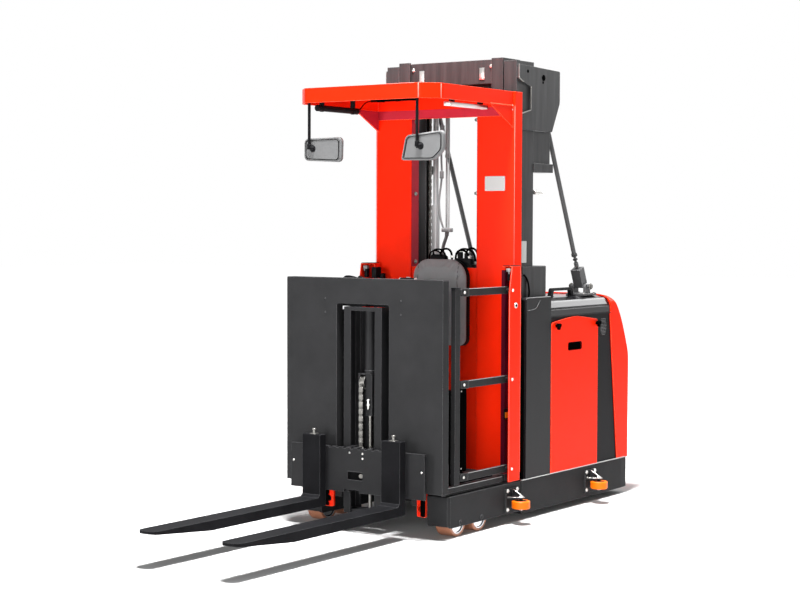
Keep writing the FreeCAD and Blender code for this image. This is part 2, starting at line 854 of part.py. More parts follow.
def platform_floor():
    """Floor tray with two beams below it and red feet at the front."""
    low = s.floor_top - s.floor_thickness
    half = s.floor_half_width
    corners = [
        (half, s.panel_front + s.panel_depth), (half, s.post_front - 6), (426, s.post_front - 6),
        (426, s.inner_rail_front - 8),
    ]
    floor = prism("Floor", "XY", corners + mirror_x(corners), low, s.floor_top)
    cut_box(floor, (-200, 200), (s.panel_front + s.panel_depth, s.aux_rail_rear), (low, s.floor_top))
    for start, end in ((230, 300), (-300, -230)):
        add_box(floor, (start, end), (-238, 440), (low - 84, low))
    node(floor, "platform_floor")
    foot = prism(
        "Foot", "XZ", [(272, 96, 8), (330, 96, 8), (330, low), (215, low), (215, 190), (272, 190)],
        -252, -238,
    )
    cut_disc(foot, "XZ", (300, 140), 17, -252, -238)
    pair(foot, "front_feet")


def uprights():
    """Wide pressed channels that carry the overhead guard."""
    inner = s.upright_inner
    outer = s.upright_outer
    front = s.upright_front
    wall = s.sheet
    rear = front + s.upright_depth
    corners = [
        (inner, front, 8), (outer, front, 8), (outer, rear), (outer - wall, rear),
        (outer - wall, front + wall), (inner + wall, front + wall), (inner + wall, rear - 12),
        (inner, rear - 12),
    ]
    upright = prism("Upright", "XY", corners, s.floor_top, s.guard_top)
    pair(upright, "uprights")
    wall_panel = prism(
        "BackWall", "XZ", rectangle(-inner, inner, s.floor_top, s.post_top - 16), front + 12, front + 18,
    )
    node(wall_panel, "back_wall")


def overhead_guard():
    """Folded red tray with a window, triangular gussets and a rear cross beam."""
    half = s.guard_half_width
    front = s.guard_front
    rear = s.upright_front
    outline = [
        (half, rear), (half, front + 85, 40), (half - 85, front, 40), (-half + 85, front, 40),
        (-half, front + 85, 40), (-half, rear),
    ]
    guard = prism("Guard", "XY", outline, s.guard_bottom, s.guard_top)
    wall = s.sheet
    inside = [
        (half - wall, rear - wall), (half - wall, front + 88), (half - 88, front + wall),
        (-half + 88, front + wall), (-half + wall, front + 88), (-half + wall, rear - wall),
    ]
    cut_prism(guard, "XY", inside, s.guard_bottom, s.guard_top - 4)
    window = [
        (-230, front + 90, 30), (230, front + 90, 30), (230, rear - 300, 30), (-230, rear - 300, 30),
    ]
    cut_prism(guard, "XY", window, s.guard_top - 4, s.guard_top)
    triangle = [(rear, s.guard_bottom), (rear - 230, s.guard_bottom), (rear, s.guard_bottom - 116)]
    add_prism(guard, "YZ", triangle, half - 8, half)
    add_prism(guard, "YZ", triangle, -half, -half + 8)
    add_box(guard, (-half + 8, half - 8), (rear - 6, rear), (s.guard_bottom - 52, s.guard_bottom + 4))
    node(guard, "overhead_guard")
    pane = prism("Pane", "XY", rectangle(-250, 250, front + 70, rear - 280), s.guard_top - 9, s.guard_top - 4)
    node(pane, "guard_window")


def side_posts():
    """Open channels at the sides of the platform that hold the gate pivots."""
    outer = s.panel_half_width
    inner = outer - 73
    wall = s.sheet
    front = s.post_front
    rear = s.post_rear
    low = s.floor_top - s.floor_thickness - 2
    top = s.post_top
    flange = [(front, low), (front, top - 140), (front + 26, top), (rear, top), (rear, low)]
    post = prism("Post", "YZ", flange, outer - wall, outer)
    back = [(outer, rear), (inner, rear), (inner, rear - 50), (inner + wall, rear - 50)]
    back += [(inner + wall, rear - wall), (outer, rear - wall)]
    add_prism(post, "XY", back, low, top)
    add_box(post, (s.floor_half_width - 42, inner + wall), (rear - 40, rear), (low, low + 26))
    cap = [(inner, front + 44), (outer, front + 26), (outer, rear), (inner, rear)]
    add_prism(post, "XY", cap, top - 4, top)
    for height in (s.gate_top_rail, s.gate_mid_rail, s.gate_low_rail):
        add_disc(
            post, "YZ", (s.gate_pivot_rear, height), s.gate_pin_radius,
            s.gate_rail_inner - 2, outer - 2,
        )
    pair(post, "side_posts")


def front_panel():
    """Folded panel in front of the operator, slotted for the fork mast."""
    half = s.panel_half_width
    slot = s.slot_half_width
    low = s.panel_bottom
    outline = [
        (-half, low), (-slot, low), (-slot, s.slot_top, 12), (slot, s.slot_top, 12),
        (slot, low), (half, low), (half, s.panel_top, 6), (-half, s.panel_top, 6),
    ]
    front = s.panel_front
    rear = front + s.panel_depth
    panel = prism("Panel", "XZ", outline, front, rear)
    wall = s.sheet
    for near, far in ((slot + wall, half - wall), (-half + wall, -slot - wall)):
        cut_prism(
            panel, "XZ", rectangle(near, far, low + wall, s.panel_top - wall), front + wall, rear,
        )
    cut_prism(
        panel, "XZ",
        rectangle(-slot - wall - 1, slot + wall + 1, s.slot_top + wall, s.panel_top - wall),
        front + wall, rear,
    )
    tunnel = (s.slot_top - 6, s.panel_top + 6)
    cut_box(panel, (-22, 52), (front + 12, rear), tunnel)
    node(panel, "front_panel")


def fork_mast():
    """Short mast that raises the forks in front of the platform."""
    rail = channel_section(
        s.aux_rail_inner, s.aux_rail_outer, s.panel_front, s.aux_rail_rear, 12,
    )
    low = s.aux_mast_bottom
    top = s.aux_mast_top
    mast = prism("ForkMast", "XY", rail, low, top)
    add_prism(mast, "XY", mirror_x(rail), low, top)
    outer = s.aux_rail_outer
    rear = s.aux_rail_rear
    add_box(mast, (-outer, outer), (s.panel_front, s.panel_front + 14), (top - 20, top))
    add_box(mast, (-outer, outer), (s.panel_front + 12, rear), (low, low + 20))
    side = s.slot_half_width + s.sheet + 20
    add_box(mast, (-side, side), (rear, rear + 12), (s.floor_top, top - 20))
    for start, end in ((side - 10, side), (-side, -side + 10)):
        add_box(mast, (start, end), (s.panel_front + s.sheet, rear), (s.floor_top, top - 20))
    node(mast, "fork_mast")
    rod = doc.addObject("PartDesign::Body", "ForkRod")
    centre = (s.fork_rod_centre, s.sheave_centre)
    add_disc(rod, "XY", centre, s.fork_rod_radius, low + 20, top - 40)
    node(rod, "fork_rod")


def crosshead():
    """Inverted cylinder and its head with the chain sheave, rising half as fast as the forks."""
    centre = s.sheave_centre
    height = s.sheave_height
    axis = (s.fork_rod_centre, centre)
    top = s.aux_mast_top - 15
    head = doc.addObject("PartDesign::Body", "Crosshead")
    add_box(head, (2, 42), (centre - 24, centre + 18), (height - 170, height + 49))
    add_box(head, (-46, -36), (centre - 24, centre + 18), (height - 60, height + 49))
    add_box(head, (-46, 42), (centre - 24, centre + 18), (height + 43, height + 49))
    add_disc(head, "YZ", (centre, height), 14, -40, 4)
    add_disc(head, "XY", axis, 28, height + 49, top)
    cut_disc(head, "XY", axis, s.fork_rod_radius + PIN_CLEARANCE, height - 170, top - 6)
    add_disc(head, "YZ", (centre, height), 36, -31, 0)
    node(head, "crosshead")


def chain_links(count, start, step, thickness, label):
    """One strand of leaf chain: alternating packs of plates on common pins."""
    pitch = s.chain_pitch.number
    strand = []
    for index in range(count):
        low = start.z + index * step
        width = 26 if index % 2 else 20
        plate = Part.makeBox(width, thickness, pitch + 5, FreeCAD.Vector(start.x - width / 2, start.y, low))
        strand.append(plate)
    chain = doc.addObject("Part::Feature", "Chain")
    chain.Shape = strand[0].fuse(strand[1:]).removeSplitter()
    node(chain, label)


def chains():
    centre = s.sheave_centre.number
    pitch = s.chain_pitch.number
    anchor = s.carriage_top.number
    height = s.sheave_height.number
    count = int((height - anchor) / pitch)
    chain_links(count, FreeCAD.Vector(-15, centre - 46, anchor), pitch, 9, "chain_front")
    rear_anchor = s.aux_mast_bottom.number + 190
    count = int((height - rear_anchor) / pitch)
    chain_links(count, FreeCAD.Vector(-15, centre + 37, rear_anchor), pitch, 8, "chain_rear")


def fork_carriage():
    """Wide plate with the roller cheeks behind it."""
    half = s.carriage_half_width
    front = s.carriage_front
    low = s.carriage_bottom
    top = s.carriage_top
    outline = [
        (-half, low), (-80, low), (-80, low + 14), (20, low + 14), (20, low), (half, low),
        (half, top, 4), (-half, top, 4),
    ]
    plate = prism("Carriage", "XZ", outline, front, front + 16)
    cut_prism(
        plate, "XZ", [(-54, 281, 6), (44, 281, 6), (44, 325, 6), (-54, 325, 6)], front, front + 16,
    )
    for start in range(-176, 170, 46):
        cut_prism(plate, "XZ", rectangle(start, start + 16, top - 7, top), front, front + 16)
    inner = s.aux_rail_inner
    middle = (s.panel_front + s.aux_rail_rear) * 0.5
    roller = (s.aux_rail_rear - s.panel_front) * 0.5 - 12 - ROLLER_CLEARANCE
    for sign in (1, -1):
        cheek = sorted((sign * (inner - 6), sign * (inner - 18)), key=lambda size: size.number)
        add_box(plate, cheek, (front + 16, middle + 30), (low, top))
        for height in (low + 34, top - 34):
            reach = sorted((sign * (inner - 6), sign * (inner + 25)), key=lambda size: size.number)
            add_disc(plate, "YZ", (middle, height), roller, *reach)
    add_box(plate, (-30, 0), (front + 16, s.sheave_centre - 41), (top - 40, top))
    node(plate, "fork_carriage")


def forks():
    """Forks with tapered blades and rounded tips, hung on the carriage."""
    rear = s.carriage_front
    shank = rear - s.fork_thickness
    low = s.fork_bottom
    top = low + s.fork_thickness
    profile = [
        (rear, low + 6), (rear, s.shank_top, 4), (shank, s.shank_top, 4), (shank, top + 14),
        (shank - 16, top), (s.fork_tip, top), (s.fork_tip, low + 36),
        (s.fork_tip + 404, low), (rear - 30, low),
    ]
    fork = prism("Fork", "YZ", profile, s.fork_inner, s.fork_outer)
    base = fork.Tip
    tip = s.fork_tip.number
    names = [
        f"Edge{index}" for index, edge in enumerate(base.Shape.Edges, 1)
        if all(abs(vertex.Y - tip) < 0.01 for vertex in edge.Vertexes)
        and abs(edge.Vertexes[0].Z - edge.Vertexes[-1].Z) > 1
    ]
    rounding = fork.newObject("PartDesign::Fillet", "TipRounding")
    rounding.Base = (base, names)
    rounding.Radius = 46
    doc.recompute()
    pair(fork, "forks")


# ---------------------------------------------------------------- fittings

def console():
    """Operator's console on the back of the front panel."""
    rear = s.panel_front + s.panel_depth
    low = s.aux_mast_top
    profile = [
        (rear, low), (rear, s.panel_top - 6), (rear + 40, s.panel_top - 6, 12),
        (rear + 160, s.panel_top - 70, 20), (rear + 160, low + 30, 20), (rear + 120, low),
    ]
    desk = prism("Console", "YZ", profile, -330, 330)
    cut_box(desk, (-22, 52), (rear, rear + 40), (low, s.panel_top))
    node(desk, "console")
    slope = FreeCAD.Rotation(FreeCAD.Vector(1, 0, 0), -math.degrees(math.atan2(64, 120)))
    knob = doc.addObject("PartDesign::Body", "SteeringKnob")
    add_disc(knob, "XY", (0, 0), 20, 0, 8)
    add_disc(knob, "XY", (0, 0), 58, 8, 26)
    add_disc(knob, "XY", (38, 0), 14, 26, 44)
    grip = doc.addObject("PartDesign::Body", "Grip")
    add_disc(grip, "XY", (0, 0), 16, 0, 20)
    add_box(grip, (-52, 52), (-13, 13), (20, 44))
    for piece, across in ((knob, -180), (grip, 170)):
        piece.Placement.Rotation = slope
        bind(piece, "Placement.Base.x", across)
        bind(piece, "Placement.Base.y", rear + 100)
        bind(piece, "Placement.Base.z", s.panel_top - 38)
    controls = doc.addObject("Part::Compound", "Controls")
    controls.Links = [knob, grip]
    node(controls, "controls")


def backrest():
    """Cushion the operator leans on, plain here."""
    half = 182
    outline = [(-half, 934, 44), (half, 934, 44), (half, 1428, 110), (-half, 1428, 110)]
    cushion = prism("Backrest", "XZ", outline, s.upright_front - 65, s.upright_front + 12)
    node(cushion, "backrest")


def mirrors():
    """Rear-view mirrors on stalks below the guard's front edge, the right one tilted."""
    face = s.guard_front.number + 31
    top = s.guard_top.number - 4
    ball = s.guard_bottom.number - 246
    heads = {
        -346: [(-392, 2062), (-144, 2066), (-148, 1934), (-384, 1946)],
        346: [(262, 2064), (484, 2082), (466, 1946), (240, 1954)],
    }
    solids = []
    for stalk_x, corners in heads.items():
        stalk = Part.makeCylinder(8, top - ball, FreeCAD.Vector(stalk_x, face - 14, ball))
        elbow = FreeCAD.Vector(stalk_x, face - 14, ball + 8)
        arm = tube_between(elbow, FreeCAD.Vector(stalk_x + 46, face + 4, ball - 2), 7)
        points = [FreeCAD.Vector(x, face, z) for x, z in corners + corners[:1]]
        head = Part.Face(Part.makePolygon(points)).extrude(FreeCAD.Vector(0, 22, 0))
        across = [edge for edge in head.Edges if abs(edge.tangentAt(0).y) > 0.9]
        head = head.makeFillet(30, across)
        solids.append(head.fuse([stalk, arm]).removeSplitter())
    both = doc.addObject("Part::Feature", "Mirrors")
    both.Shape = Part.makeCompound(solids)
    node(both, "mirrors")


def lamps():
    """A round tube lamp under the left of the guard and a flat bar lamp under the right."""
    tube = doc.addObject("PartDesign::Body", "TubeLamp")
    height = s.guard_bottom - 10
    add_disc(tube, "XZ", (-379, height), 15, -266, 100)
    for start in (-236, 40):
        add_box(tube, (-389, -369), (start, start + 30), (height, s.guard_top - 4))
    bar = doc.addObject("PartDesign::Body", "BarLamp")
    add_prism(
        bar, "XZ",
        [
            (359, s.guard_bottom - 26, 5), (399, s.guard_bottom - 26, 5),
            (399, s.guard_bottom - 4, 5), (359, s.guard_bottom - 4, 5),
        ],
        -150, 214,
    )
    for start in (-120, 150):
        add_box(bar, (369, 389), (start, start + 30), (s.guard_bottom - 6, s.guard_top - 4))
    both = doc.addObject("Part::Compound", "Lamps")
    both.Links = [tube, bar]
    node(both, "guard_lamps")


def gates():
    """Lift-up side gates: three rails in parallel and an upright bar that stays vertical."""
    half_height = s.gate_rail_height * 0.5
    bore = s.gate_pin_radius + PIN_CLEARANCE
    heights = {"top": s.gate_top_rail, "mid": s.gate_mid_rail, "low": s.gate_low_rail}
    for side, sign in (("left", -1), ("right", 1)):
        across = sorted((sign * s.gate_rail_inner, sign * s.gate_rail_outer), key=lambda size: size.number)
        for level, height in heights.items():
            corners = [
                (s.gate_pivot_front - 30, height - half_height, 12),
                (s.gate_pivot_rear + 24, height - half_height, 12),
                (s.gate_pivot_rear + 24, height + half_height, 12),
                (s.gate_pivot_front - 30, height + half_height, 12),
            ]
            rail = prism("GateRail", "YZ", corners, *across)
            for centre in (s.gate_pivot_front, s.gate_pivot_rear):
                cut_disc(rail, "YZ", (centre, height), bore, *across)
            node(rail, f"gate_{level}_rail_{side}")
        x = sorted((sign * s.gate_bar_inner, sign * s.gate_bar_outer), key=lambda size: size.number)
        bar_rear = s.gate_bar_front + s.gate_bar_depth
        bar = prism(
            "GateBar", "XY", rectangle(*x, s.gate_bar_front, bar_rear),
            s.floor_top + 6, s.gate_top_rail + half_height + 2,
        )
        lug = sorted(
            (sign * (s.gate_rail_inner - 8), sign * (s.gate_rail_inner - 1)), key=lambda size: size.number,
        )
        pin = sorted(
            (sign * (s.gate_rail_inner - 8), sign * s.gate_rail_outer), key=lambda size: size.number,
        )
        for height in heights.values():
            ear = [
                (bar_rear - 4, height - half_height), (s.gate_pivot_front + 15, height - half_height, 10),
                (s.gate_pivot_front + 15, height + half_height, 10), (bar_rear - 4, height + half_height),
            ]
            add_prism(bar, "YZ", ear, *lug)
            add_disc(bar, "YZ", (s.gate_pivot_front, height), s.gate_pin_radius, *pin)
        node(bar, f"gate_bar_{side}")


for build in (
    chassis_legs, chassis_base, power_housing, battery, hood_cover, rear_fairing, column_covers,
    roller_brackets, wheels, outer_mast, mast_head, mast_brackets, mast_stays, lift_cylinders,
    inner_mast, mast_carriage, platform_floor, uprights, overhead_guard, side_posts, front_panel,
    fork_mast, crosshead, chains, fork_carriage, forks, console, backrest, mirrors, lamps, gates,
):
    build()

doc.recompute()
for thing in doc.Objects:
    if {"Invalid", "Error"} & set(thing.State):
        raise RuntimeError(f"{thing.Name} did not recompute: {thing.State}")
for thing in nodes:
    if thing.Shape.isNull() or not thing.Shape.isValid():
        raise RuntimeError(f"{thing.Label} has no valid shape")

os.makedirs("parts", exist_ok=True)
for thing in nodes:
    thing.Shape.exportStep(f"parts/{thing.Label}.step")
print(len(nodes), "nodes written")
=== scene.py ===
import json
import math
import bpy
from mathutils import Matrix, Vector


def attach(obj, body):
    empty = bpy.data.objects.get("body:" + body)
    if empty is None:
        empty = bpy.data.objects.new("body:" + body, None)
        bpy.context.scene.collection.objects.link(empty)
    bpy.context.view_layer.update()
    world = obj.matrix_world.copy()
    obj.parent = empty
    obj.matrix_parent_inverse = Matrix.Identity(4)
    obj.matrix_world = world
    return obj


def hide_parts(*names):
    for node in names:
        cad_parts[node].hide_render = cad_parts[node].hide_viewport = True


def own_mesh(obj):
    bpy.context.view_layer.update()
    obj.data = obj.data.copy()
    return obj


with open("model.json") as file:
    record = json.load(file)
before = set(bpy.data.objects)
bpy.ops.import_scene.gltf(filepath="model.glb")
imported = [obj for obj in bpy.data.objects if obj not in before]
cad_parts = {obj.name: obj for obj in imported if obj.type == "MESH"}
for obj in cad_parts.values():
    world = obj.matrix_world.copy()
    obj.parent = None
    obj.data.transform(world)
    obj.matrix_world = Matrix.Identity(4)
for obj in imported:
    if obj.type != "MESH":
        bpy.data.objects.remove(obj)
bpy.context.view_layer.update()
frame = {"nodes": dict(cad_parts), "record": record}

bl_info = {
    "name": "Order picker",
    "version": (1, 0, 0),
    "blender": (4, 5, 0),
    "location": "3D View > Sidebar > Order picker",
    "description": "Dresses the order picker's frame with trim, fastenings and finishes",
    "category": "Object",
}

MM = 0.001
X, Y, Z = Vector((1, 0, 0)), Vector((0, 1, 0)), Vector((0, 0, 1))
FLIP = Matrix.Scale(-1, 4, X)
ORIGIN = (0, 0, 0)

# Places that several pieces share, in millimetres.
SIDES = (("left", -1), ("right", 1))
GATE_LEVELS = (("top", 1260), ("mid", 782), ("low", 300))
UPRIGHT_BOLTS = (2183, 1781, 1400)
ROLLERS_Y = (("front", 328), ("rear", 1196))
WHEELS_Y = (("front", -160), ("rear", 45))
CHAIN_PITCH = 19.05
LEAF_PLATES = (-10.8, -8.1, -5.4, -2.7, 0, 2.7, 5.4, 8.1, 10.8)

# The pad's front is nearer than this along Y, in metres, and its seams run this far from the middle.
PAD_FRONT, SEAM_OUT = 0.350, 0.131

# The camera: its place in metres, its turn round the truck, height and roll in degrees.
CAMERA_PLACE = (5.31966, -7.56463, 1.62416)
CAMERA_AZIMUTH, CAMERA_ELEVATION, CAMERA_ROLL = 35.206, 2.599, 0.204
CAMERA_LENS = 77.605

# Each finish: colour, roughness, metallic, specular level, coat, grain size per metre, grain
# depth in metres, share by which the colour drifts, how far the drift is drawn out along Z, and
# how much paler the edges are, partly from wear and partly as a painted highlight.
FINISHES = {
    "red_paint": ((0.93, 0.021, 0.003), 0.30, 0.0, 0.04, 0.0, 700, 0.00005, 0.05, 1.0, 5.0),
    "charcoal_paint": ((0.025, 0.025, 0.026), 0.50, 0.0, 0.03, 0.0, 900, 0.00022, 0.14, 1.0, 2.5),
    "black_paint": ((0.013, 0.013, 0.014), 0.42, 0.0, 0.10, 0.0, 600, 0.00012, 0.18, 1.0, 2.5),
    "mast_steel": ((0.038, 0.038, 0.039), 0.40, 0.0, 0.10, 0.0, 500, 0.00012, 0.30, 0.08, 2.0),
    "cylinder_grey": ((0.30, 0.303, 0.306), 0.30, 0.0, 0.5, 0.2, 500, 0.00008, 0.12, 0.06, 0.2),
    "chrome_rod": ((0.62, 0.63, 0.65), 0.14, 1.0, 0.5, 0.0, 300, 0.00002, 0.12, 0.05, 0.0),
    "chain_steel": ((0.17, 0.165, 0.155), 0.36, 0.9, 0.5, 0.0, 400, 0.00010, 0.35, 1.0, 0.6),
    "zinc": ((0.58, 0.57, 0.55), 0.30, 1.0, 0.5, 0.0, 900, 0.00005, 0.15, 1.0, 0.2),
    "orange_tyre": ((0.82, 0.150, 0.003), 0.42, 0.0, 0.15, 0.0, 350, 0.00015, 0.10, 1.0, 0.1),
    "brown_tyre": ((0.36, 0.150, 0.085), 0.45, 0.0, 0.45, 0.0, 350, 0.00025, 0.22, 1.0, 0.2),
    "grey_plastic": ((0.140, 0.141, 0.143), 0.46, 0.0, 0.30, 0.0, 1300, 0.00018, 0.10, 1.0, 0.2),
    "black_plastic": ((0.007, 0.007, 0.008), 0.38, 0.0, 0.04, 0.0, 1500, 0.00014, 0.15, 1.0, 0.6),
    "hood_plastic": ((0.009, 0.009, 0.010), 0.16, 0.0, 0.30, 0.0, 1500, 0.00001, 0.15, 1.0, 0.6),
    "fork_paint": ((0.008, 0.008, 0.009), 0.55, 0.0, 0.02, 0.0, 300, 0.00016, 0.30, 1.0, 3.0),
    "stay_grey": ((0.230, 0.231, 0.234), 0.42, 0.0, 0.30, 0.0, 500, 0.00010, 0.12, 1.0, 0.5),
    "stay_paint": ((0.085, 0.085, 0.087), 0.42, 0.0, 0.20, 0.0, 500, 0.00010, 0.12, 1.0, 2.0),
    # The next two reds are painted shade for shaded recesses, and the red after them is a painted
    # highlight for sheet edges.
    "shaded_red": ((0.420, 0.018, 0.036), 0.50, 0.0, 0.10, 0.0, 700, 0.00005, 0.15, 1.0, 0.2),
    "deep_red": ((0.060, 0.001, 0.009), 0.50, 0.0, 0.10, 0.0, 700, 0.00005, 0.15, 1.0, 0.2),
    "red_edge": ((1.000, 0.200, 0.160), 0.30, 0.0, 0.30, 0.0, 700, 0.00002, 0.05, 1.0, 0.0),
    "rubber": ((0.0015, 0.0015, 0.0015), 0.62, 0.0, 0.0, 0.0, 800, 0.00030, 0.20, 1.0, 0.5),
    "cushion": ((0.235, 0.237, 0.241), 0.50, 0.0, 0.15, 0.0, 520, 0.00035, 0.10, 1.0, 0.1),
    "smoked_glass": ((0.50, 0.53, 0.55), 0.08, 0.0, 0.5, 0.0, 60, 0.00001, 0.05, 1.0, 0.0),
    "battery_case": ((0.020, 0.020, 0.022), 0.50, 0.0, 0.5, 0.0, 400, 0.00020, 0.30, 1.0, 0.5),
    "lamp_lens": ((0.72, 0.73, 0.74), 0.16, 0.0, 0.5, 0.3, 240, 0.00006, 0.06, 1.0, 0.0),
    "mirror_glass": ((0.72, 0.74, 0.76), 0.05, 1.0, 0.5, 0.0, 60, 0.00001, 0.03, 1.0, 0.0),
    "amber": ((0.85, 0.230, 0.010), 0.22, 0.0, 0.5, 0.3, 260, 0.00020, 0.10, 1.0, 0.0),
    "pale_plate": ((0.40, 0.405, 0.40), 0.32, 0.1, 0.5, 0.0, 900, 0.00003, 0.06, 1.0, 0.2),
}

# Finishes whose colour the user sets, and the setting that holds it.
USER_COLOURS = {
    "red_paint": "body_colour", "orange_tyre": "roller_colour", "cushion": "cushion_colour",
}


class OrderPickerSettings(bpy.types.PropertyGroup):
    """Sizes and colours that a user may change"""

    floor_size: bpy.props.FloatProperty(
        name="Floor", description="Side of the pale floor", default=80.0, min=10, unit="LENGTH",
    )
    edge_radius: bpy.props.FloatProperty(
        name="Edge radius", description="Rounding of the sheet edges in the finish",
        default=0.003, min=0, unit="LENGTH",
    )
    bolt_radius: bpy.props.FloatProperty(
        name="Bolt radius", description="Radius of the heads of the common bolts",
        default=0.009, min=0.001, unit="LENGTH",
    )
    weld_radius: bpy.props.FloatProperty(
        name="Weld radius", description="Half the width of a weld bead",
        default=0.004, min=0.001, unit="LENGTH",
    )
    cushion_cap: bpy.props.FloatProperty(
        name="Cushion swell", description="Most that the cushion's cover may swell",
        default=0.018, min=0, unit="LENGTH",
    )
    body_colour: bpy.props.FloatVectorProperty(
        name="Body colour", description="Paint of the guard, the uprights, the doors and the rear",
        default=FINISHES["red_paint"][0], min=0, max=1, subtype="COLOR",
    )
    roller_colour: bpy.props.FloatVectorProperty(
        name="Roller colour", description="Tyres of the guide rollers",
        default=FINISHES["orange_tyre"][0], min=0, max=1, subtype="COLOR",
    )
    cushion_colour: bpy.props.FloatVectorProperty(
        name="Cushion colour", description="Cover of the backrest",
        default=FINISHES["cushion"][0], min=0, max=1, subtype="COLOR",
    )


def settings():
    """The sizes and colours as the user has set them."""
    return bpy.context.scene.order_picker_settings


# ---------------------------------------------------------------- finishes

def feed(tree, node, inputs):
    """Gives a node's inputs, by name or number, a value or a link from another node's output."""
    for key, value in inputs.items():
        if isinstance(value, bpy.types.NodeSocket):
            tree.links.new(value, node.inputs[key])
        else:
            node.inputs[key].default_value = value


def add_node(tree, kind, inputs=None, **choices):
    """A new shader node with its choices made and its inputs fed."""
    node = tree.nodes.new(f"ShaderNode{kind}")
    for key, value in choices.items():
        setattr(node, key, value)
    feed(tree, node, inputs or {})
    return node


def finish_material(name):
    """A finish with drift in its colour and gloss, edges made paler by wear and by a painted highlight,
    and grain from its own bump.
    """
    material = bpy.data.materials.get(f"finish_{name}")
    if material:
        return material
    (colour, roughness, metallic, specular, coat,
     grain, depth, drift, stretch, edge_wear_and_highlight) = FINISHES[name]
    if name in USER_COLOURS:
        colour = getattr(settings(), USER_COLOURS[name])
    material = bpy.data.materials.new(f"finish_{name}")
    material.use_nodes = True
    tree = material.node_tree
    place = add_node(tree, "TexCoord").outputs["Object"]
    drawn = add_node(tree, "Mapping", {"Scale": (1, 1, stretch), "Vector": place})
    broad = add_node(tree, "TexNoise", {
        "Scale": 5 if stretch == 1 else 30, "Detail": 7, "Roughness": 0.62,
        "Vector": drawn.outputs["Vector"],
    }).outputs["Fac"]
    tint = add_node(tree, "ValToRGB", {"Fac": broad})
    for stop, position, share in zip(tint.color_ramp.elements, (0.30, 0.72), (1 - drift, 1 + drift)):
        stop.position = position
        stop.color = [min(1, c * share) for c in colour] + [1]
    gloss = add_node(tree, "MapRange", {
        "To Min": max(0.02, roughness - 0.07), "To Max": min(1, roughness + 0.09), "Value": broad,
    })
    rounded = add_node(tree, "Bevel", {"Radius": settings().edge_radius}, samples=4).outputs["Normal"]
    sharp = add_node(tree, "NewGeometry").outputs["Normal"]
    across = add_node(tree, "VectorMath", {0: rounded, 1: sharp}, operation="DOT_PRODUCT")
    # Edges found by the bevel are painted paler: partly wear, partly a painted highlight.
    edge = add_node(tree, "MapRange", {
        "From Min": 0.985, "From Max": 0.86, "To Min": 0, "To Max": min(1, edge_wear_and_highlight),
        "Value": across.outputs["Value"],
    })
    worn_and_lit = add_node(tree, "Mix", {
        "B": [min(1, c * (1 + edge_wear_and_highlight) + 0.02 * edge_wear_and_highlight) for c in colour] + [1],
        "Factor": edge.outputs["Result"], "A": tint.outputs["Color"],
    }, data_type="RGBA")
    fine = add_node(tree, "TexNoise", {"Scale": grain, "Detail": 3, "Vector": place})
    bump = add_node(tree, "Bump", {
        "Strength": 0.6, "Distance": depth, "Height": fine.outputs["Fac"], "Normal": rounded,
    })
    shader = tree.nodes["Principled BSDF"]
    feed(tree, shader, {
        "Metallic": metallic, "Specular IOR Level": specular, "Coat Weight": coat,
        "Coat Roughness": 0.10, "Roughness": gloss.outputs["Result"],
        "Base Color": worn_and_lit.outputs["Result"], "Normal": bump.outputs["Normal"],
    })
    if name == "smoked_glass":
        feed(tree, shader, {"Transmission Weight": 0.85, "IOR": 1.05})
    return material


def paint(piece, name):
    """Gives a piece one finish and no other."""
    piece.data.materials.clear()
    piece.data.materials.append(finish_material(name))


def fit(name, pieces, finish, body, smooth=35):
    """Joins pieces, smooths them between sharp edges, paints them and hangs them on their body."""
    piece = only(joined(name, pieces))
    bpy.ops.object.shade_smooth_by_angle(angle=math.radians(smooth))
    paint(piece, finish)
    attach(piece, body)
    return piece


def pair(name, pieces, finish, body, smooth=35):
    """Fits pieces together with their mirror images across the truck's middle."""
    return fit(name, pieces + [copy_of(piece, FLIP) for piece in pieces], finish, body, smooth)


# ---------------------------------------------------------------- hand tools

def clear():
    """Leaves edit mode and selects nothing."""
    if bpy.context.object and bpy.context.object.mode != "OBJECT":
        bpy.ops.object.mode_set(mode="OBJECT")
    bpy.ops.object.select_all(action="DESELECT")


def only(piece):
    """Selects one piece and makes it the active one."""
    clear()
    piece.select_set(True)
    bpy.context.view_layer.objects.active = piece
    return piece


def work_on(piece, mode="FACE"):
    """Opens a piece's mesh with all of it selected."""
    only(piece)
    bpy.ops.object.mode_set(mode="EDIT")
    bpy.ops.mesh.select_mode(type=mode)
    bpy.ops.mesh.select_all(action="SELECT")


def leave():
    """Closes the open mesh."""
    bpy.ops.object.mode_set(mode="OBJECT")


def pick(piece, faces=None, edges=None):
    """Selects faces or edges by a test of their middle and direction, then opens the mesh."""
    mesh = only(piece).data
    bpy.context.tool_settings.mesh_select_mode = (False, edges is not None, faces is not None)
    for group in (mesh.vertices, mesh.edges, mesh.polygons):
        for item in group:
            item.select = False
    if faces:
        for face in mesh.polygons:
            if faces(face.center, face.normal):
                face.select = True
                for index in face.vertices:
                    mesh.vertices[index].select = True
    if edges:
        for edge in mesh.edges:
            a, b = (mesh.vertices[index].co for index in edge.vertices)
            if edges((a + b) / 2, (b - a).normalized()):
                edge.select = True
                for index in edge.vertices:
                    mesh.vertices[index].select = True
    bpy.ops.object.mode_set(mode="EDIT")


def settle(piece):
    """Puts a piece's place, turn and size into its mesh."""
    only(piece)
    bpy.ops.object.transform_apply(location=True, rotation=True, scale=True)
    return piece


def block(low, high, rounding, segments=2):
    """A box between two corners, in millimetres, with its edges rounded over."""
    clear()
    low, high = Vector(low) * MM, Vector(high) * MM
    bpy.ops.mesh.primitive_cube_add(size=1, location=(low + high) / 2, scale=high - low)
    piece = settle(bpy.context.object)
    work_on(piece, "EDGE")
    bpy.ops.mesh.bevel(offset=rounding * MM, segments=segments, affect="EDGES")
    leave()
    return piece


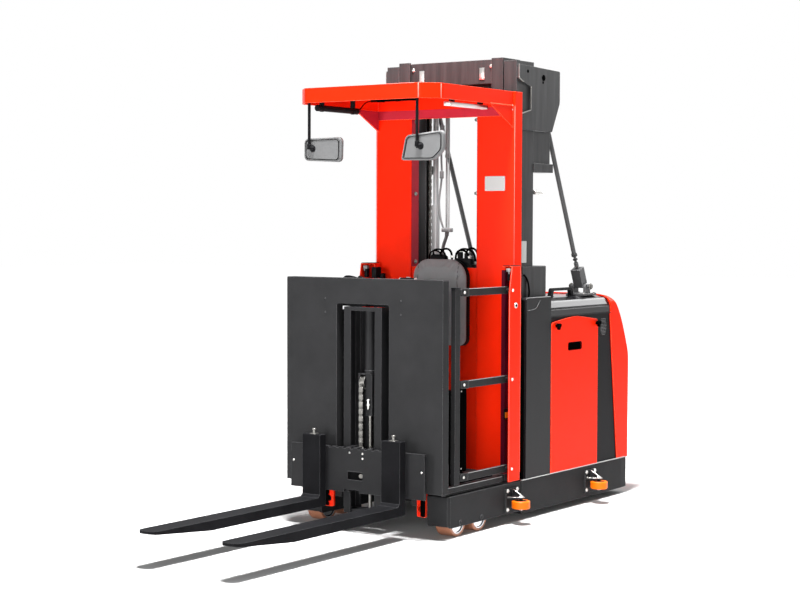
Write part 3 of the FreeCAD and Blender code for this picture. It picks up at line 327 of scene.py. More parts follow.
def rod(start, end, radius, rim=1.0, sides=24):
    """A round bar between two points, in millimetres, with its rims broken."""
    clear()
    start, end = Vector(start) * MM, Vector(end) * MM
    way = end - start
    bpy.ops.mesh.primitive_cylinder_add(
        vertices=sides, radius=radius * MM, depth=way.length, location=(start + end) / 2,
        rotation=way.to_track_quat("Z", "Y").to_euler(),
    )
    piece = settle(bpy.context.object)
    way.normalize()
    pick(piece, edges=lambda middle, along: abs(along.dot(way)) < 0.5)
    bpy.ops.mesh.bevel(offset=rim * MM, segments=2, affect="EDGES")
    leave()
    return piece


def plate(outline, plane, low, high, rounding=1.0, segments=1):
    """A flat outline, in millimetres, drawn out between two levels across its plane."""
    clear()
    bpy.ops.mesh.primitive_circle_add(vertices=len(outline), radius=1, fill_type="NGON")
    piece = bpy.context.object
    spots = {"XY": (0, 1, 2), "XZ": (0, 2, 1), "YZ": (1, 2, 0)}[plane]
    for vertex, (a, b) in zip(piece.data.vertices, outline):
        vertex.co[spots[0]], vertex.co[spots[1]], vertex.co[spots[2]] = a * MM, b * MM, low * MM
    work_on(piece)
    move = Vector()
    move[spots[2]] = (high - low) * MM
    bpy.ops.mesh.extrude_region_move(TRANSFORM_OT_translate={"value": move})
    bpy.ops.mesh.select_all(action="SELECT")
    bpy.ops.mesh.normals_make_consistent(inside=False)
    if rounding:
        leave()
        across = Vector()
        across[spots[2]] = 1
        pick(piece, edges=lambda middle, along: abs(along.dot(across)) < 0.5)
        bpy.ops.mesh.bevel(offset=rounding * MM, segments=segments, affect="EDGES")
    leave()
    return piece


def rounded_outline(corners, radius, steps=5):
    """The corners of an outline, each drawn as a short arc; radius may differ by corner."""
    outline = []
    count = len(corners)
    for index, corner in enumerate(corners):
        here = Vector(corner[:2])
        bend = corner[2] if len(corner) > 2 else radius
        before = (Vector(corners[index - 1][:2]) - here)
        after = (Vector(corners[(index + 1) % count][:2]) - here)
        half = before.angle(after) / 2
        reach = bend / math.tan(half)
        start = here + before.normalized() * reach
        end = here + after.normalized() * reach
        middle = here + (before.normalized() + after.normalized()).normalized() * bend / math.sin(half)
        first = start - middle
        turn = first.angle_signed(end - middle)
        for step in range(steps + 1):
            outline.append(tuple(middle + Matrix.Rotation(-turn * step / steps, 2) @ first))
    return outline


def rectangle(left, low, right, high, radius):
    """The outline of a rectangle with rounded corners."""
    corners = [(left, low), (right, low), (right, high), (left, high)]
    return rounded_outline(corners, radius)


def ring(*half):
    """A closed profile of (along, out) points, whose first half mirrors the points given."""
    return [(-along, out) for along, out in half] + [*reversed(half), (-half[0][0], half[0][1])]


def turned(profile, place, axis, steps):
    """Turns a profile of (along, out) points, in millimetres, round an axis through a place."""
    clear()
    place, axis = Vector(place) * MM, Vector(axis).normalized()
    out = axis.orthogonal().normalized()
    points = [place + axis * along * MM + out * radius * MM for along, radius in profile]
    bpy.ops.mesh.primitive_plane_add(size=0.001)
    piece = bpy.context.object
    work_on(piece, "VERT")
    bpy.ops.mesh.merge(type="CENTER")
    bpy.ops.transform.translate(value=points[0])
    for here, there in zip(points, points[1:]):
        bpy.ops.mesh.extrude_vertices_move(TRANSFORM_OT_translate={"value": there - here})
    bpy.ops.mesh.select_all(action="SELECT")
    bpy.ops.mesh.spin(steps=steps, angle=math.tau, center=place, axis=axis)
    bpy.ops.mesh.select_all(action="SELECT")
    bpy.ops.mesh.remove_doubles(threshold=0.00001)
    bpy.ops.mesh.normals_make_consistent(inside=False)
    leave()
    return piece


def pipe(points, radius, sides, smooth=True):
    """A bent bar or hose through its points, in millimetres, closed at both ends."""
    clear()
    curve = bpy.data.curves.new("pipe", "CURVE")
    curve.dimensions = "3D"
    curve.bevel_depth = radius * MM
    curve.bevel_resolution = max(1, sides // 4)
    curve.use_fill_caps = True
    line = curve.splines.new("NURBS" if smooth else "POLY")
    line.points.add(len(points) - 1)
    for spot, point in zip(line.points, points):
        spot.co = (*(Vector(point) * MM), 1)
    if smooth:
        line.order_u = 3
        line.use_endpoint_u = True
        line.resolution_u = 6
    piece = bpy.data.objects.new("pipe", curve)
    bpy.context.scene.collection.objects.link(piece)
    only(piece)
    bpy.ops.object.convert(target="MESH")
    piece = bpy.context.object
    work_on(piece)
    bpy.ops.mesh.remove_doubles(threshold=0.00002)
    bpy.ops.mesh.normals_make_consistent(inside=False)
    leave()
    return piece


def sink(piece, faces, rim, move):
    """Insets the faces that pass a test and moves them, in millimetres."""
    pick(piece, faces=faces)
    bpy.ops.mesh.inset(thickness=rim * MM)
    bpy.ops.mesh.extrude_region_move(TRANSFORM_OT_translate={"value": Vector(move) * MM})
    leave()


def copy_of(piece, change):
    """A copy with its own mesh, changed by a matrix."""
    twin = piece.copy()
    twin.data = piece.data.copy()
    bpy.context.scene.collection.objects.link(twin)
    twin.data.transform(change)
    if change.determinant() < 0:
        twin.data.flip_normals()
    return twin


def joined(name, pieces):
    """Several pieces as one."""
    clear()
    for piece in pieces:
        piece.select_set(True)
    bpy.context.view_layer.objects.active = pieces[0]
    if len(pieces) > 1:
        bpy.ops.object.join()
    pieces[0].name = name
    return pieces[0]


def moved(place):
    """The move to a place in millimetres."""
    return Matrix.Translation(Vector(place) * MM)


def along(way, place):
    """Takes the upward way to another, at a place in millimetres."""
    turn = Vector(way).to_track_quat("Z", "Y").to_matrix().to_4x4()
    return moved(place) @ turn


def leaned(tilt, pieces):
    """Pieces that were built level, leaned by a matrix."""
    for piece in pieces:
        piece.data.transform(tilt)
    return pieces


def remove(*pieces):
    """Takes away pieces that were only copied from."""
    for piece in pieces:
        bpy.data.objects.remove(piece)


def dome_bolt(radius):
    """Button head with a socket on a flat washer, standing on the floor."""
    profile = (
        (0, 1.25), (0.18, 1.25), (0.22, 1.18), (0.22, 0.98), (0.45, 0.90), (0.72, 0.66), (0.80, 0.42),
        (0.45, 0.38), (0.45, 0),
    )
    return turned([(radius * up, radius * out) for up, out in profile], ORIGIN, Z, 18)


def hex_bolt(radius):
    """Hexagon head on a washer, standing on the floor."""
    profile = ((0, 1.3), (0.16, 1.3), (0.20, 1.22), (0.20, 0))
    washer = turned([(radius * up, radius * out) for up, out in profile], ORIGIN, Z, 20)
    head = rod((0, 0, radius * 0.1), (0, 0, radius * 0.85), radius, radius * 0.10, 6)
    return joined("hexagon", [washer, head])


def bolts(name, maker, places, way, finish, body, radius=None):
    """
    One bolt copied to each place, in millimetres, with its head facing the given way. A bolt
    without a radius of its own has the size from the settings.
    """
    model = maker(radius or settings().bolt_radius / MM)
    copies = [copy_of(model, along(way, place)) for place in places]
    remove(model)
    return fit(name, copies, finish, body)


def weld(name, runs, finish, body, ripple=5.0):
    """Welds along straight runs, in millimetres, built from overlapping beads of metal."""
    radius = settings().weld_radius / MM
    arc = ((-1, 0), (-0.7, 0.72), (0, 1), (0.7, 0.72), (1, 0))
    bead = turned([(radius * up, radius * out) for up, out in arc], ORIGIN, Z, 8)
    copies = []
    for start, end in runs:
        start, end = Vector(start), Vector(end)
        count = max(2, round((end - start).length / ripple))
        for step in range(count + 1):
            copies.append(copy_of(bead, along(end - start, start.lerp(end, step / count))))
    remove(bead)
    return fit(name, copies, finish, body, 60)


# ---------------------------------------------------------------- operators

class ORDERPICKER_OT_finishes(bpy.types.Operator):
    """Gives every node of the frame its finish"""

    bl_idname = "orderpicker.finishes"
    bl_label = "Finishes"

    def execute(self, context):
        own = {
            "hood_cover": "hood_plastic", "mast_stays": "stay_paint", "forks": "fork_paint",
            "lift_rods": "cylinder_grey",
        }
        for part in frame["record"]["subparts"]:
            paint(frame["nodes"][part["node"]], own.get(part["node"], part["material_slot"]))
        return {"FINISHED"}


class ORDERPICKER_OT_fastenings(bpy.types.Operator):
    """Adds bolts and screws to the platform, the mast and the chassis"""

    bl_idname = "orderpicker.fastenings"
    bl_label = "Fastenings"

    def execute(self, context):
        for side, sign in SIDES:
            bolts(
                f"post_bolts_{side}", dome_bolt, [(sign * 503, 308, height) for _, height in GATE_LEVELS],
                X * sign, "zinc", "platform", 7,
            )
            for level, height in GATE_LEVELS:
                rail = f"gate_{level}_rail_{side}"
                bolts(
                    f"gate_{level}_bolt_{side}", dome_bolt, [(sign * 466.5, -107, height)], X * sign,
                    "zinc", rail, 6.5,
                )
        for side, sign in SIDES:
            bolts(
                f"upright_bolts_{side}", hex_bolt, [(sign * 212, 424, z) for z in UPRIGHT_BOLTS],
                -X * sign, "chain_steel", "platform",
            )
        ends = [rod((184, 424, z), (214, 424, z), 8.5, 2, 14) for z in UPRIGHT_BOLTS]
        ends += [rod((194, 424, z), (206, 424, z), 12, 2, 6) for z in UPRIGHT_BOLTS]
        fit("upright_bolt_ends", ends, "chain_steel", "platform")
        bolts(
            "guard_screws", dome_bolt, [(449.5, 380, z) for z in (2228, 2252)], X, "zinc", "platform", 3.5,
        )
        bolts(
            "panel_screws", dome_bolt, [(x, -362, z) for x in (-244, 244) for z in (1219, 1147)], -Y,
            "black_paint", "platform", 4,
        )
        bolts("head_bolts", hex_bolt, [(-259, 465, 2477), (259, 465, 2477)], -Y, "zinc", "inner_mast", 8)
        brackets = [
            (490, centre + y, z) for _, centre in ROLLERS_Y for y, z in ((-38, 79), (-38, 181), (59, 181))
        ]
        axles = [(480, y, 75) for _, y in WHEELS_Y]
        for name, places, finish, radius in (
            ("bracket_bolts", brackets, "zinc", None), ("axle_ends", axles, "charcoal_paint", 11),
        ):
            bolts(f"{name}_right", dome_bolt, places, X, finish, "chassis", radius)
            bolts(
                f"{name}_left", dome_bolt, [(-x, y, z) for x, y, z in places], -X, finish, "chassis",
                radius,
            )
        bolts(
            "carriage_bolts", dome_bolt,
            [(42, -417, 422), (42, -417, 396), (-42, -417, 422), (413, -417, 356), (-413, -417, 356)], -Y,
            "zinc", "fork_carriage", 4.5,
        )
        bolts(
            "hatch_bolts", hex_bolt, [(x, y, 262) for x in (-400, 400) for y in (-270, 230)], Z, "zinc",
            "platform", 7,
        )
        bolts(
            "stay_plate_bolts", hex_bolt,
            [(sign * 355 + x, y, 1210) for sign in (-1, 1) for x in (-50, 50) for y in (1255, 1380)], Z,
            "chain_steel", "chassis", 7,
        )
        for label, way in (("a", 1), ("b", -1)):
            bolts(
                f"stay_pins_{label}", hex_bolt, [(sign * 355 + way * 62, 1312, 1250) for sign in (-1, 1)],
                X * way, "chain_steel", "chassis", 15,
            )
        return {"FINISHED"}


class ORDERPICKER_OT_welds(bpy.types.Operator):
    """Lays weld beads along the joints of the guard, the mast head and the chassis"""

    bl_idname = "orderpicker.welds"
    bl_label = "Welds"

    def execute(self, context):
        guard = []
        for x in (-450, 450):
            guard += [((x, 386, 2132), (x, 386, 2248)), ((x, 158, 2250), (x, 384, 2250))]
        weld("guard_welds", guard, "red_paint", "platform")
        head = []
        for x in (-440, 440):
            face = x + math.copysign(1.5, x)
            head += [
                ((face, 460, 2476), (face, 460, 2408)), ((face, 462, 2402), (face, 505, 2386)),
                ((face, 585, 2360), (face, 585, 2242)), ((face, 582, 2236), (face, 490, 2214)),
            ]
        weld("head_welds", head, "chain_steel", "chassis")
        weld(
            "chassis_welds", [((x, 446, 40), (x, 446, 214)) for x in (-481, 481)], "charcoal_paint",
            "chassis", 6,
        )
        return {"FINISHED"}


class ORDERPICKER_OT_posts(bpy.types.Operator):
    """Adds the posts' locks, latches and caps, painted shade in the post channels, painted highlights on
    the sheet edges, and the gates' sleeves, strips and painted rail highlights
    """

    bl_idname = "orderpicker.posts"
    bl_label = "Posts and gates"

    def execute(self, context):
        place = (503, 336, 1178)
        ring = turned([(0, 15), (4, 15), (6, 13), (6, 10), (4, 8), (4, 0)], place, X, 28)
        key = turned([(3, 0), (3, 7.5), (7, 7), (8, 6), (8, 3), (6, 2), (6, 0)], place, X, 20)
        locks = [("gate_lock", ring, "zinc"), ("gate_lock_core", key, "black_plastic")]
        for name, piece, finish in locks:
            fit(f"{name}_right", [piece], finish, "platform")
        for name, piece, finish in locks:
            fit(f"{name}_left", [copy_of(piece, FLIP)], finish, "platform")
        pair("gate_latch_cases", [
            block((462, 304, 1358), (488, 330, 1376), 3),
            rod((480, 306, 1362), (480, 306, 1346), 4),
        ], "stay_grey", "platform")
        pair("gate_latch_bodies", [
            block((466, 310, 1310), (486, 334, 1358), 3),
        ], "black_plastic", "platform")
        # Dark red strips inside the post channel: painted shade.
        pair("post_liners", [
            block((414, 335.4, 264), (437.6, 337.4, 1366), 0.5, 1),
            block((436.2, 337.2, 264), (437.6, 380, 1366), 0.5, 1),
        ], "deep_red", "platform")
        # Black sleeves over the gate pins and black strips low in the post channel: painted shade.
        sleeves_and_shade = [rod((466.8, 308, z), (496.8, 308, z), 10.5, 1, 20) for _, z in GATE_LEVELS]
        sleeves_and_shade.append(block((427.2, 335.4, 224), (437.8, 337.4, 263), 0.5, 1))
        sleeves_and_shade.append(block((436.2, 337.2, 224), (437.8, 380, 263), 0.5, 1))
        pair("pivot_collars", sleeves_and_shade, "black_paint", "platform")
        # Pale red rods along the sheet edges: painted highlights.
        pair("sheet_edges", [
            rod((502.6, 276.6, 238), (502.6, 276.6, 1244), 1.1, 0.4, 8),
            rod((502.6, 387.4, 238), (502.6, 387.4, 1386), 1.1, 0.4, 8),
            rod((502.6, 276.6, 1246), (502.6, 301.6, 1386), 1.1, 0.4, 8),
            rod((459.6, 388.4, 1392), (459.6, 388.4, 2246), 1.5, 0.4, 8),
        ], "red_edge", "platform", 60)
        cap = plate([(440, 306), (503, 306), (503, 388), (440, 388)], "XY", 1388.4, 1392)
        pair("post_caps", [cap], "black_plastic", "platform")
        fit("post_switch_left", [
            block((-428, 300, 1306), (-396, 352, 1368), 4),
            block((-392, 330, 1300), (-372, 362, 1332), 3),
        ], "black_plastic", "platform")
        lens = block((441, 334, 568), (447, 366, 599), 2)
        pair("gate_reflectors", [lens], "amber", "platform")
        case = block((436, 328, 560), (442, 374, 618), 2)
        pair("reflector_cases", [case], "black_plastic", "platform")
        for side, sign in SIDES:
            low, high = sorted((sign * 436, sign * 439.4))
            # The strip's lower block fills the gap below it with black: painted shade.
            fit(f"kick_strip_{side}", [
                block((low, -248, 326), (high, -42, 761), 1),
                block((low, -236, 266), (high, -200, 328), 1),
            ], "rubber", f"gate_bar_{side}")
            bolts(
                f"kick_screws_{side}", dome_bolt, [(sign * 439.4, -92, z) for z in (342, 746)], X * sign,
                "zinc", f"gate_bar_{side}", 3.5,
            )
            low, high = sorted((sign * 442, sign * 472))
            fit(f"gate_cap_{side}", [
                block((low, -200, 1279), (high, -151, 1287), 2.5),
            ], "black_plastic", f"gate_bar_{side}")
            low, high = sorted((sign * 446, sign * 468.5))
            for level, height in GATE_LEVELS:
                sleeve = block((low, -96, height - 21), (high, -66, height + 21), 3)
                fit(f"gate_{level}_sleeve_{side}", [sleeve], "black_paint", f"gate_{level}_rail_{side}")
                # Grey rod along each rail's top edge: a painted highlight.
                edge = rod(
                    (sign * 465.4, -64, height + 18.6), (sign * 465.4, 292, height + 18.6), 1.5, 0.4, 8,
                )
                fit(f"gate_{level}_edge_{side}", [edge], "cylinder_grey", f"gate_{level}_rail_{side}", 60)
        return {"FINISHED"}


class ORDERPICKER_OT_covers(bpy.types.Operator):
    """Adds the trim of the column covers, the doors, the hood and the tail, and pale strips painted as
    highlights on the column covers' edges and the chassis sills
    """

    bl_idname = "orderpicker.covers"
    bl_label = "Covers and doors"

    def execute(self, context):
        pair("column_pulls", [
            pipe([
                (480.6, 500, 1143), (480.6, 572, 1146), (480.6, 600, 1156), (480.6, 618, 1182),
                (480.6, 634, 1194),
            ], 1.1, 8),
        ], "stay_paint", "chassis")
        # Grey rods along the column cover's top and front edges: painted highlights.
        pair("column_rims", [
            rod((479.4, 492, 1211.4), (479.4, 750, 1211.4), 1.6, 0.4, 8),
            rod((479.4, 488.6, 222), (479.4, 488.6, 1208), 1.2, 0.4, 8),
        ], "stay_grey", "chassis", 60)
        pair("column_lips", [
            block((474, 486, 219), (481.2, 491, 1204), 1),
            block((474, 488, 217), (481.2, 754, 222), 1),
        ], "black_plastic", "chassis")
        pair("column_seals", [block((436, 476, 222), (470, 487, 1200), 3)], "rubber", "chassis")
        knobs = []
        for y, z in ((809, 1044), (1272, 1040)):
            stem = rod((481, y, z), (492, y, z), 8, 1)
            lobes = [
                rod(
                    (491, y + 11 * math.cos(turn), z + 11 * math.sin(turn)),
                    (508, y + 11 * math.cos(turn), z + 11 * math.sin(turn)), 9.5, 3, 18,
                )
                for turn in (0.5, 2.594, 4.689)
            ]
            middle = rod((490, y, z), (510, y, z), 11, 3, 18)
            knobs += [stem, middle] + lobes
        pair("door_knobs", knobs, "rubber", "chassis")
        bezel = plate(rectangle(943, 899, 1100, 945, 12), "YZ", 474.5, 483.5, 1.2, 2)
        sink(bezel, lambda middle, normal: normal.x > 0.9, 4, (-7, 0, 0))
        pair("door_grips", [bezel], "rubber", "chassis")
        pair("hood_lips", [
            plate([(758, 1092), (1452, 1092), (1451, 1098), (758, 1098)], "YZ", 476, 479, 1),
            plate([(758, 1138), (1448, 1138), (1448, 1143), (758, 1143)], "YZ", 470, 475.5, 1.5, 2),
        ], "black_plastic", "chassis")
        fit("hood_trim", [
            pipe([
                (478, 1454, 1098), (478, 1451, 1128), (476, 1450, 1150), (465, 1449, 1172),
                (444, 1449, 1188), (410, 1449, 1197), (360, 1449, 1200), (200, 1449, 1201),
                (0, 1449, 1201), (-200, 1449, 1201), (-360, 1449, 1200), (-410, 1449, 1197),
                (-444, 1449, 1188), (-465, 1449, 1172), (-476, 1450, 1150), (-478, 1451, 1128),
                (-478, 1454, 1098),
            ], 4.5, 10),
        ], "red_paint", "chassis", 60)
        fit("handle_feet", [
            block((330, y - 16, 1197), (370, y + 16, 1203), 2.5) for y in (958, 1210)
        ], "black_plastic", "chassis")
        vents = []
        for step in range(12):
            low = 966.4 + step * 8.4
            half = 36 * math.sqrt(1 - ((step - 6.2) / 7.2) ** 2)
            vents.append(block((464, 1380 - half, low), (472, 1380 + half, low + 2.6), 0.8, 1))
        pair("vent_louvres", vents, "stay_paint", "chassis")
        # Pale strips along the chassis top edge: painted highlights.
        pair("sills", [
            block((474, 448, 217), (484, 1640, 221.5), 1.5),
            block((466, 1638, 217), (474, 1700, 219.6), 1),
        ], "pale_plate", "chassis")
        tail = []
        for z in (500, 512, 524, 536, 548, 560):
            tail.append(block((-120, 1719, z), (120, 1724.6, z + 5), 1.5))
        fit("tail_vents", tail, "black_plastic", "chassis")
        fit("tow_plate", [
            block((-70, 1702, 92), (70, 1712, 180), 3),
            pipe([
                (-34, 1706, 150), (-34, 1716, 150), (-20, 1718, 150), (20, 1718, 150), (34, 1716, 150),
                (34, 1706, 150),
            ], 6, 10),
        ], "black_paint", "chassis")
        return {"FINISHED"}


class ORDERPICKER_OT_running_gear(bpy.types.Operator):
    """Turns the tyres and hubs of wheels and rollers, and adds the rollers' pins and painted highlights
    along their brackets' edges
    """

    bl_idname = "orderpicker.running_gear"
    bl_label = "Wheels and rollers"

    def execute(self, context):
        tyre_ring = ring((47, 60), (47, 70), (43, 74.5))
        hub_ring = ring((46, 60), (46, 54), (40, 50), (40, 30), (44, 28), (44, 15.4))
        roller_ring = ring((21, 34), (21, 46), (17, 49.8))
        core_ring = ring((20, 34), (20, 30), (16, 27), (16, 22), (20, 20), (20, 10.4))
        for side, sign in SIDES:
            for end, y in WHEELS_Y:
                name = f"load_wheel_{end}_{side}"
                place = (419 * sign, y, 75)
                tyre = fit(f"{name}_tyre", [turned(tyre_ring, place, X, 56)], "brown_tyre", name)
                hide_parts(name)
                fit(f"{name}_hub", [turned(hub_ring, place, X, 40)], "chrome_rod", name)
            for end, y in ROLLERS_Y:
                name = f"guide_roller_{end}_{side}"
                place = (550 * sign, y, 110)
                tyre = fit(f"{name}_tyre", [turned(roller_ring, place, Z, 48)], "orange_tyre", name)
                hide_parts(name)
                fit(f"{name}_core", [turned(core_ring, place, Z, 36)], "black_paint", name)
        pins = [(550 * sign, y) for _, sign in SIDES for _, y in ROLLERS_Y]
        bolts("guide_pin_heads", hex_bolt, [(*spot, 149) for spot in pins], Z, "zinc", "chassis", 10)
        bolts("guide_pin_nuts", hex_bolt, [(*spot, 88.5) for spot in pins], -Z, "zinc", "chassis", 11)
        # Zinc lines along the roller brackets' top and sloping edges: painted highlights.
        edges = []
        for _, centre in ROLLERS_Y:
            edges += [
                pipe([
                    (490, centre - 39, 149), (548, centre - 19, 149), (566, centre - 10, 149),
                    (567, centre + 10, 149), (548, centre + 21, 149), (490, centre + 59, 149),
                ], 1.3, 8, smooth=False),
                rod((490, centre + 17, 185), (556, centre + 17, 149), 3, 1, 8),
            ]
        pair("bracket_rims", edges, "zinc", "chassis", 60)
        drive_tyre = ring((40, 92), (40, 107), (32, 114.6))
        drive_hub = ring((36, 92), (36, 74), (24, 66), (24, 34), (38, 30), (38, 20.4))
        place = (0, 1390, 115)
        tyre = fit("drive_tyre", [turned(drive_tyre, place, X, 56)], "brown_tyre", "drive_wheel")
        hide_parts("drive_wheel")
        fit("drive_hub", [turned(drive_hub, place, X, 40)], "cylinder_grey", "drive_wheel")
        return {"FINISHED"}


def chain_strand(x, y, low, links):
    """Leaf chain: rows of thin figure-of-eight plates on pins that cross the strand."""
    outline = []
    for step in range(6):
        turn = math.pi * step / 5
        outline.append((4.2 * math.cos(turn), CHAIN_PITCH + 3.6 * math.sin(turn)))
    for step in range(6):
        turn = math.pi * (1 + step / 5)
        outline.append((4.2 * math.cos(turn), 3.6 * math.sin(turn)))
    model = plate(outline, "YZ", -1.1, 1.1, 0)
    pin = rod((-13, 0, 0), (13, 0, 0), 2.4, 0.5, 10)
    pieces = []
    for link in range(links):
        height = low + 3 + link * CHAIN_PITCH
        pieces.append(copy_of(pin, moved((x, y, height))))
        for across in LEAF_PLATES if link % 2 else LEAF_PLATES[1::2]:
            pieces.append(copy_of(model, moved((x + across, y, height))))
    remove(model, pin)
    return pieces


class ORDERPICKER_OT_fork_lift(bpy.types.Operator):
    """Builds the leaf chain, the sheave and the fittings of the fork mast"""

    bl_idname = "orderpicker.fork_lift"
    bl_label = "Fork lift"

    def execute(self, context):
        front = fit(
            "fork_chain_front", chain_strand(-15, -353.4, 449, 17), "chain_steel", "fork_carriage",
        )
        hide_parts("chain_front")
        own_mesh(front)
        rear = fit("fork_chain_rear", chain_strand(-15, -270, 286, 17), "chain_steel", "platform")
        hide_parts("chain_rear")
        fit("fork_chain_rising", chain_strand(-15, -270, 286, 26), "chain_steel", "crosshead")
        rim = turned(ring((15.5, 35), (15.5, 40), (13.4, 40), (13.4, 36.1)), (-15.5, -311, 782), X, 40)
        fit("sheave_rim", [rim], "chain_steel", "crosshead")
        guard = turned([(0, 13), (3, 13), (4, 11), (4, 0)], (-46, -311, 782), -X, 24)
        fit("sheave_cap", [guard], "zinc", "crosshead")
        fit("crosshead_stud", [
            rod((22, -339, 646), (22, -339, 700), 7, 1.5),
            rod((22, -339, 664), (22, -339, 675), 12, 1.5, 6),
            rod((22, -339, 690), (22, -339, 697), 10, 1),
        ], "zinc", "crosshead")
        gland = turned([(-6, 28.2), (-6, 31), (6, 31), (8, 29), (8, 28.2)], (15, -311, 842), Z, 32)
        fit("gland", [gland], "black_paint", "crosshead")
        fit("chain_anchor", [
            block((-31, -364, 436), (1, -352.8, 449), 2),
            rod((-34, -358, 443), (4, -358, 443), 4),
        ], "zinc", "fork_carriage")
        wheel = turned([(-3, 0), (-3, 12), (3, 12), (3, 5), (5, 4), (5, 0)], (22, -402, 303), -Y, 24)
        fit("pulley", [wheel], "chain_steel", "fork_carriage")
        inside = rectangle(-54, 281, 44, 325, 6)
        lip = pipe([(x, -417, z) for x, z in inside + inside[:1]], 1.6, 8, smooth=False)
        fit("slot_lip", [lip], "black_paint", "fork_carriage", 60)
        pins = []
        for x in (-256, 256):
            pins += [
                rod((x, -440, 500), (x, -440, 534), 7, 1.5),
                rod((x, -440, 528), (x, -440, 538), 11, 2),
                block((x - 20, -456, 506), (x + 20, -424, 512), 2),
            ]
        fit("fork_latches", pins, "chain_steel", "fork_carriage")
        return {"FINISHED"}


class ORDERPICKER_OT_mast_lines(bpy.types.Operator):
    """Adds the hoses, the return pipe, the lift chains and their anchors in the mast"""

    bl_idname = "orderpicker.mast_lines"
    bl_label = "Mast lines"

    def execute(self, context):
        loom = []
        for index, (x, y, radius) in enumerate(((-252, 604, 5), (-277, 641, 6))):
            loom.append(
                pipe(
                    [(x + 1.5 * math.sin(step * 2.1 + index), y, 330 + step * 110) for step in range(19)],
                    radius, 10,
                )
            )
        fit("mast_hoses", loom, "rubber", "chassis", 60)
        fit("return_pipe", [
            rod((-164, 676, 2004), (-164, 676, 2292), 13, 1.5, 28),
            rod((-164, 676, 1990), (-164, 676, 2010), 15, 3, 28),
            rod((-170, 676, 1580), (-170, 676, 2000), 6, 1, 16),
            rod((-154, 676, 1580), (-154, 676, 2000), 3.5, 1, 16),
        ], "cylinder_grey", "chassis")
        fit("pipe_clamps", [
            block((-196, 660, 1566), (-134, 692, 1590), 4),
            rod((-186, 656, 1578), (-186, 662, 1578), 6, 1, 6),
            block((-190, 662, 2276), (-138, 690, 2298), 3),
        ], "stay_grey", "chassis")
        drop = pipe([
            (-166, 676, 1570), (-168, 676, 1548), (-176, 676, 1524), (-190, 678, 1496),
            (-200, 680, 1460), (-206, 682, 1400), (-206, 682, 1300),
        ], 10, 12)
        fit("pipe_hose", [
            drop,
            rod((-166, 676, 1570), (-168, 676, 1544), 12, 2, 12),
            rod((-206, 682, 1292), (-206, 682, 1322), 13, 2, 12),
        ], "grey_plastic", "chassis", 60)
        lead = pipe([
            (-206, 660, 2290), (-204, 660, 2230), (-192, 660, 2170), (-194, 660, 2090),
            (-198, 660, 1990), (-192, 660, 1900), (-198, 660, 1840), (-208, 660, 1780),
            (-212, 660, 1740), (-208, 662, 1670), (-198, 668, 1612), (-186, 674, 1584),
        ], 6, 8)
        fit("sensor_lead", [
            lead,
            rod((-190, 660, 2176), (-194, 660, 2120), 13, 3, 14),
            rod((-194, 660, 1914), (-194, 660, 1872), 12, 3, 8),
            block((-206, 650, 2240), (-172, 672, 2296), 3),
        ], "stay_grey", "chassis", 60)
        for side, sign in SIDES:
            fit(f"lift_chain_{side}", chain_strand(262 * sign, 638, 1330, 50), "chain_steel", "chassis")
        anchors = []
        for x in (-262, 262):
            anchors += [
                rod((x, 644, 2286), (x, 644, 2330), 7, 1.5),
                rod((x, 644, 2300), (x, 644, 2314), 9, 1.5, 6),
            ]
        fit("lift_chain_anchors", anchors, "zinc", "chassis")
        studs = []
        for x in (-200, 200):
            studs += [
                rod((x, 478, 2424), (x, 478, 2462), 9, 1.5),
                rod((x, 478, 2432), (x, 478, 2446), 15, 1.5, 6),
                block((x - 16, 462, 2404), (x + 16, 466, 2470), 1.5),
            ]
        fit("inner_chain_anchors", studs, "zinc", "inner_mast")
        fit("mast_fitting", [
            rod((434, 660, 1788), (434, 714, 1786), 11, 2, 6),
            rod((434, 636, 1789), (434, 664, 1788), 14, 2, 6),
            rod((434, 712, 1786), (434, 742, 1784), 7, 2),
        ], "zinc", "chassis")
        cable = pipe([
            (441, 520, 1336), (447, 530, 1330), (452, 548, 1300), (452, 560, 1262), (450, 566, 1236),
            (446, 568, 1214),
        ], 5, 8)
        # Thin dark discs on the mast head: painted shade standing in for holes.
        pair("head_holes", [
            turned([(0, 9), (1.2, 9), (1.2, 0)], (440, 553, 2446), X, 28),
            turned([(0, 17), (1.2, 17), (1.2, 0)], (440, 722, 2421), X, 32),
            turned([(0, 7), (1.2, 7), (1.2, 0)], (440, 716, 2395), X, 24),
        ], "rubber", "chassis")
        pair("mast_cables", [cable], "rubber", "chassis", 60)
        return {"FINISHED"}


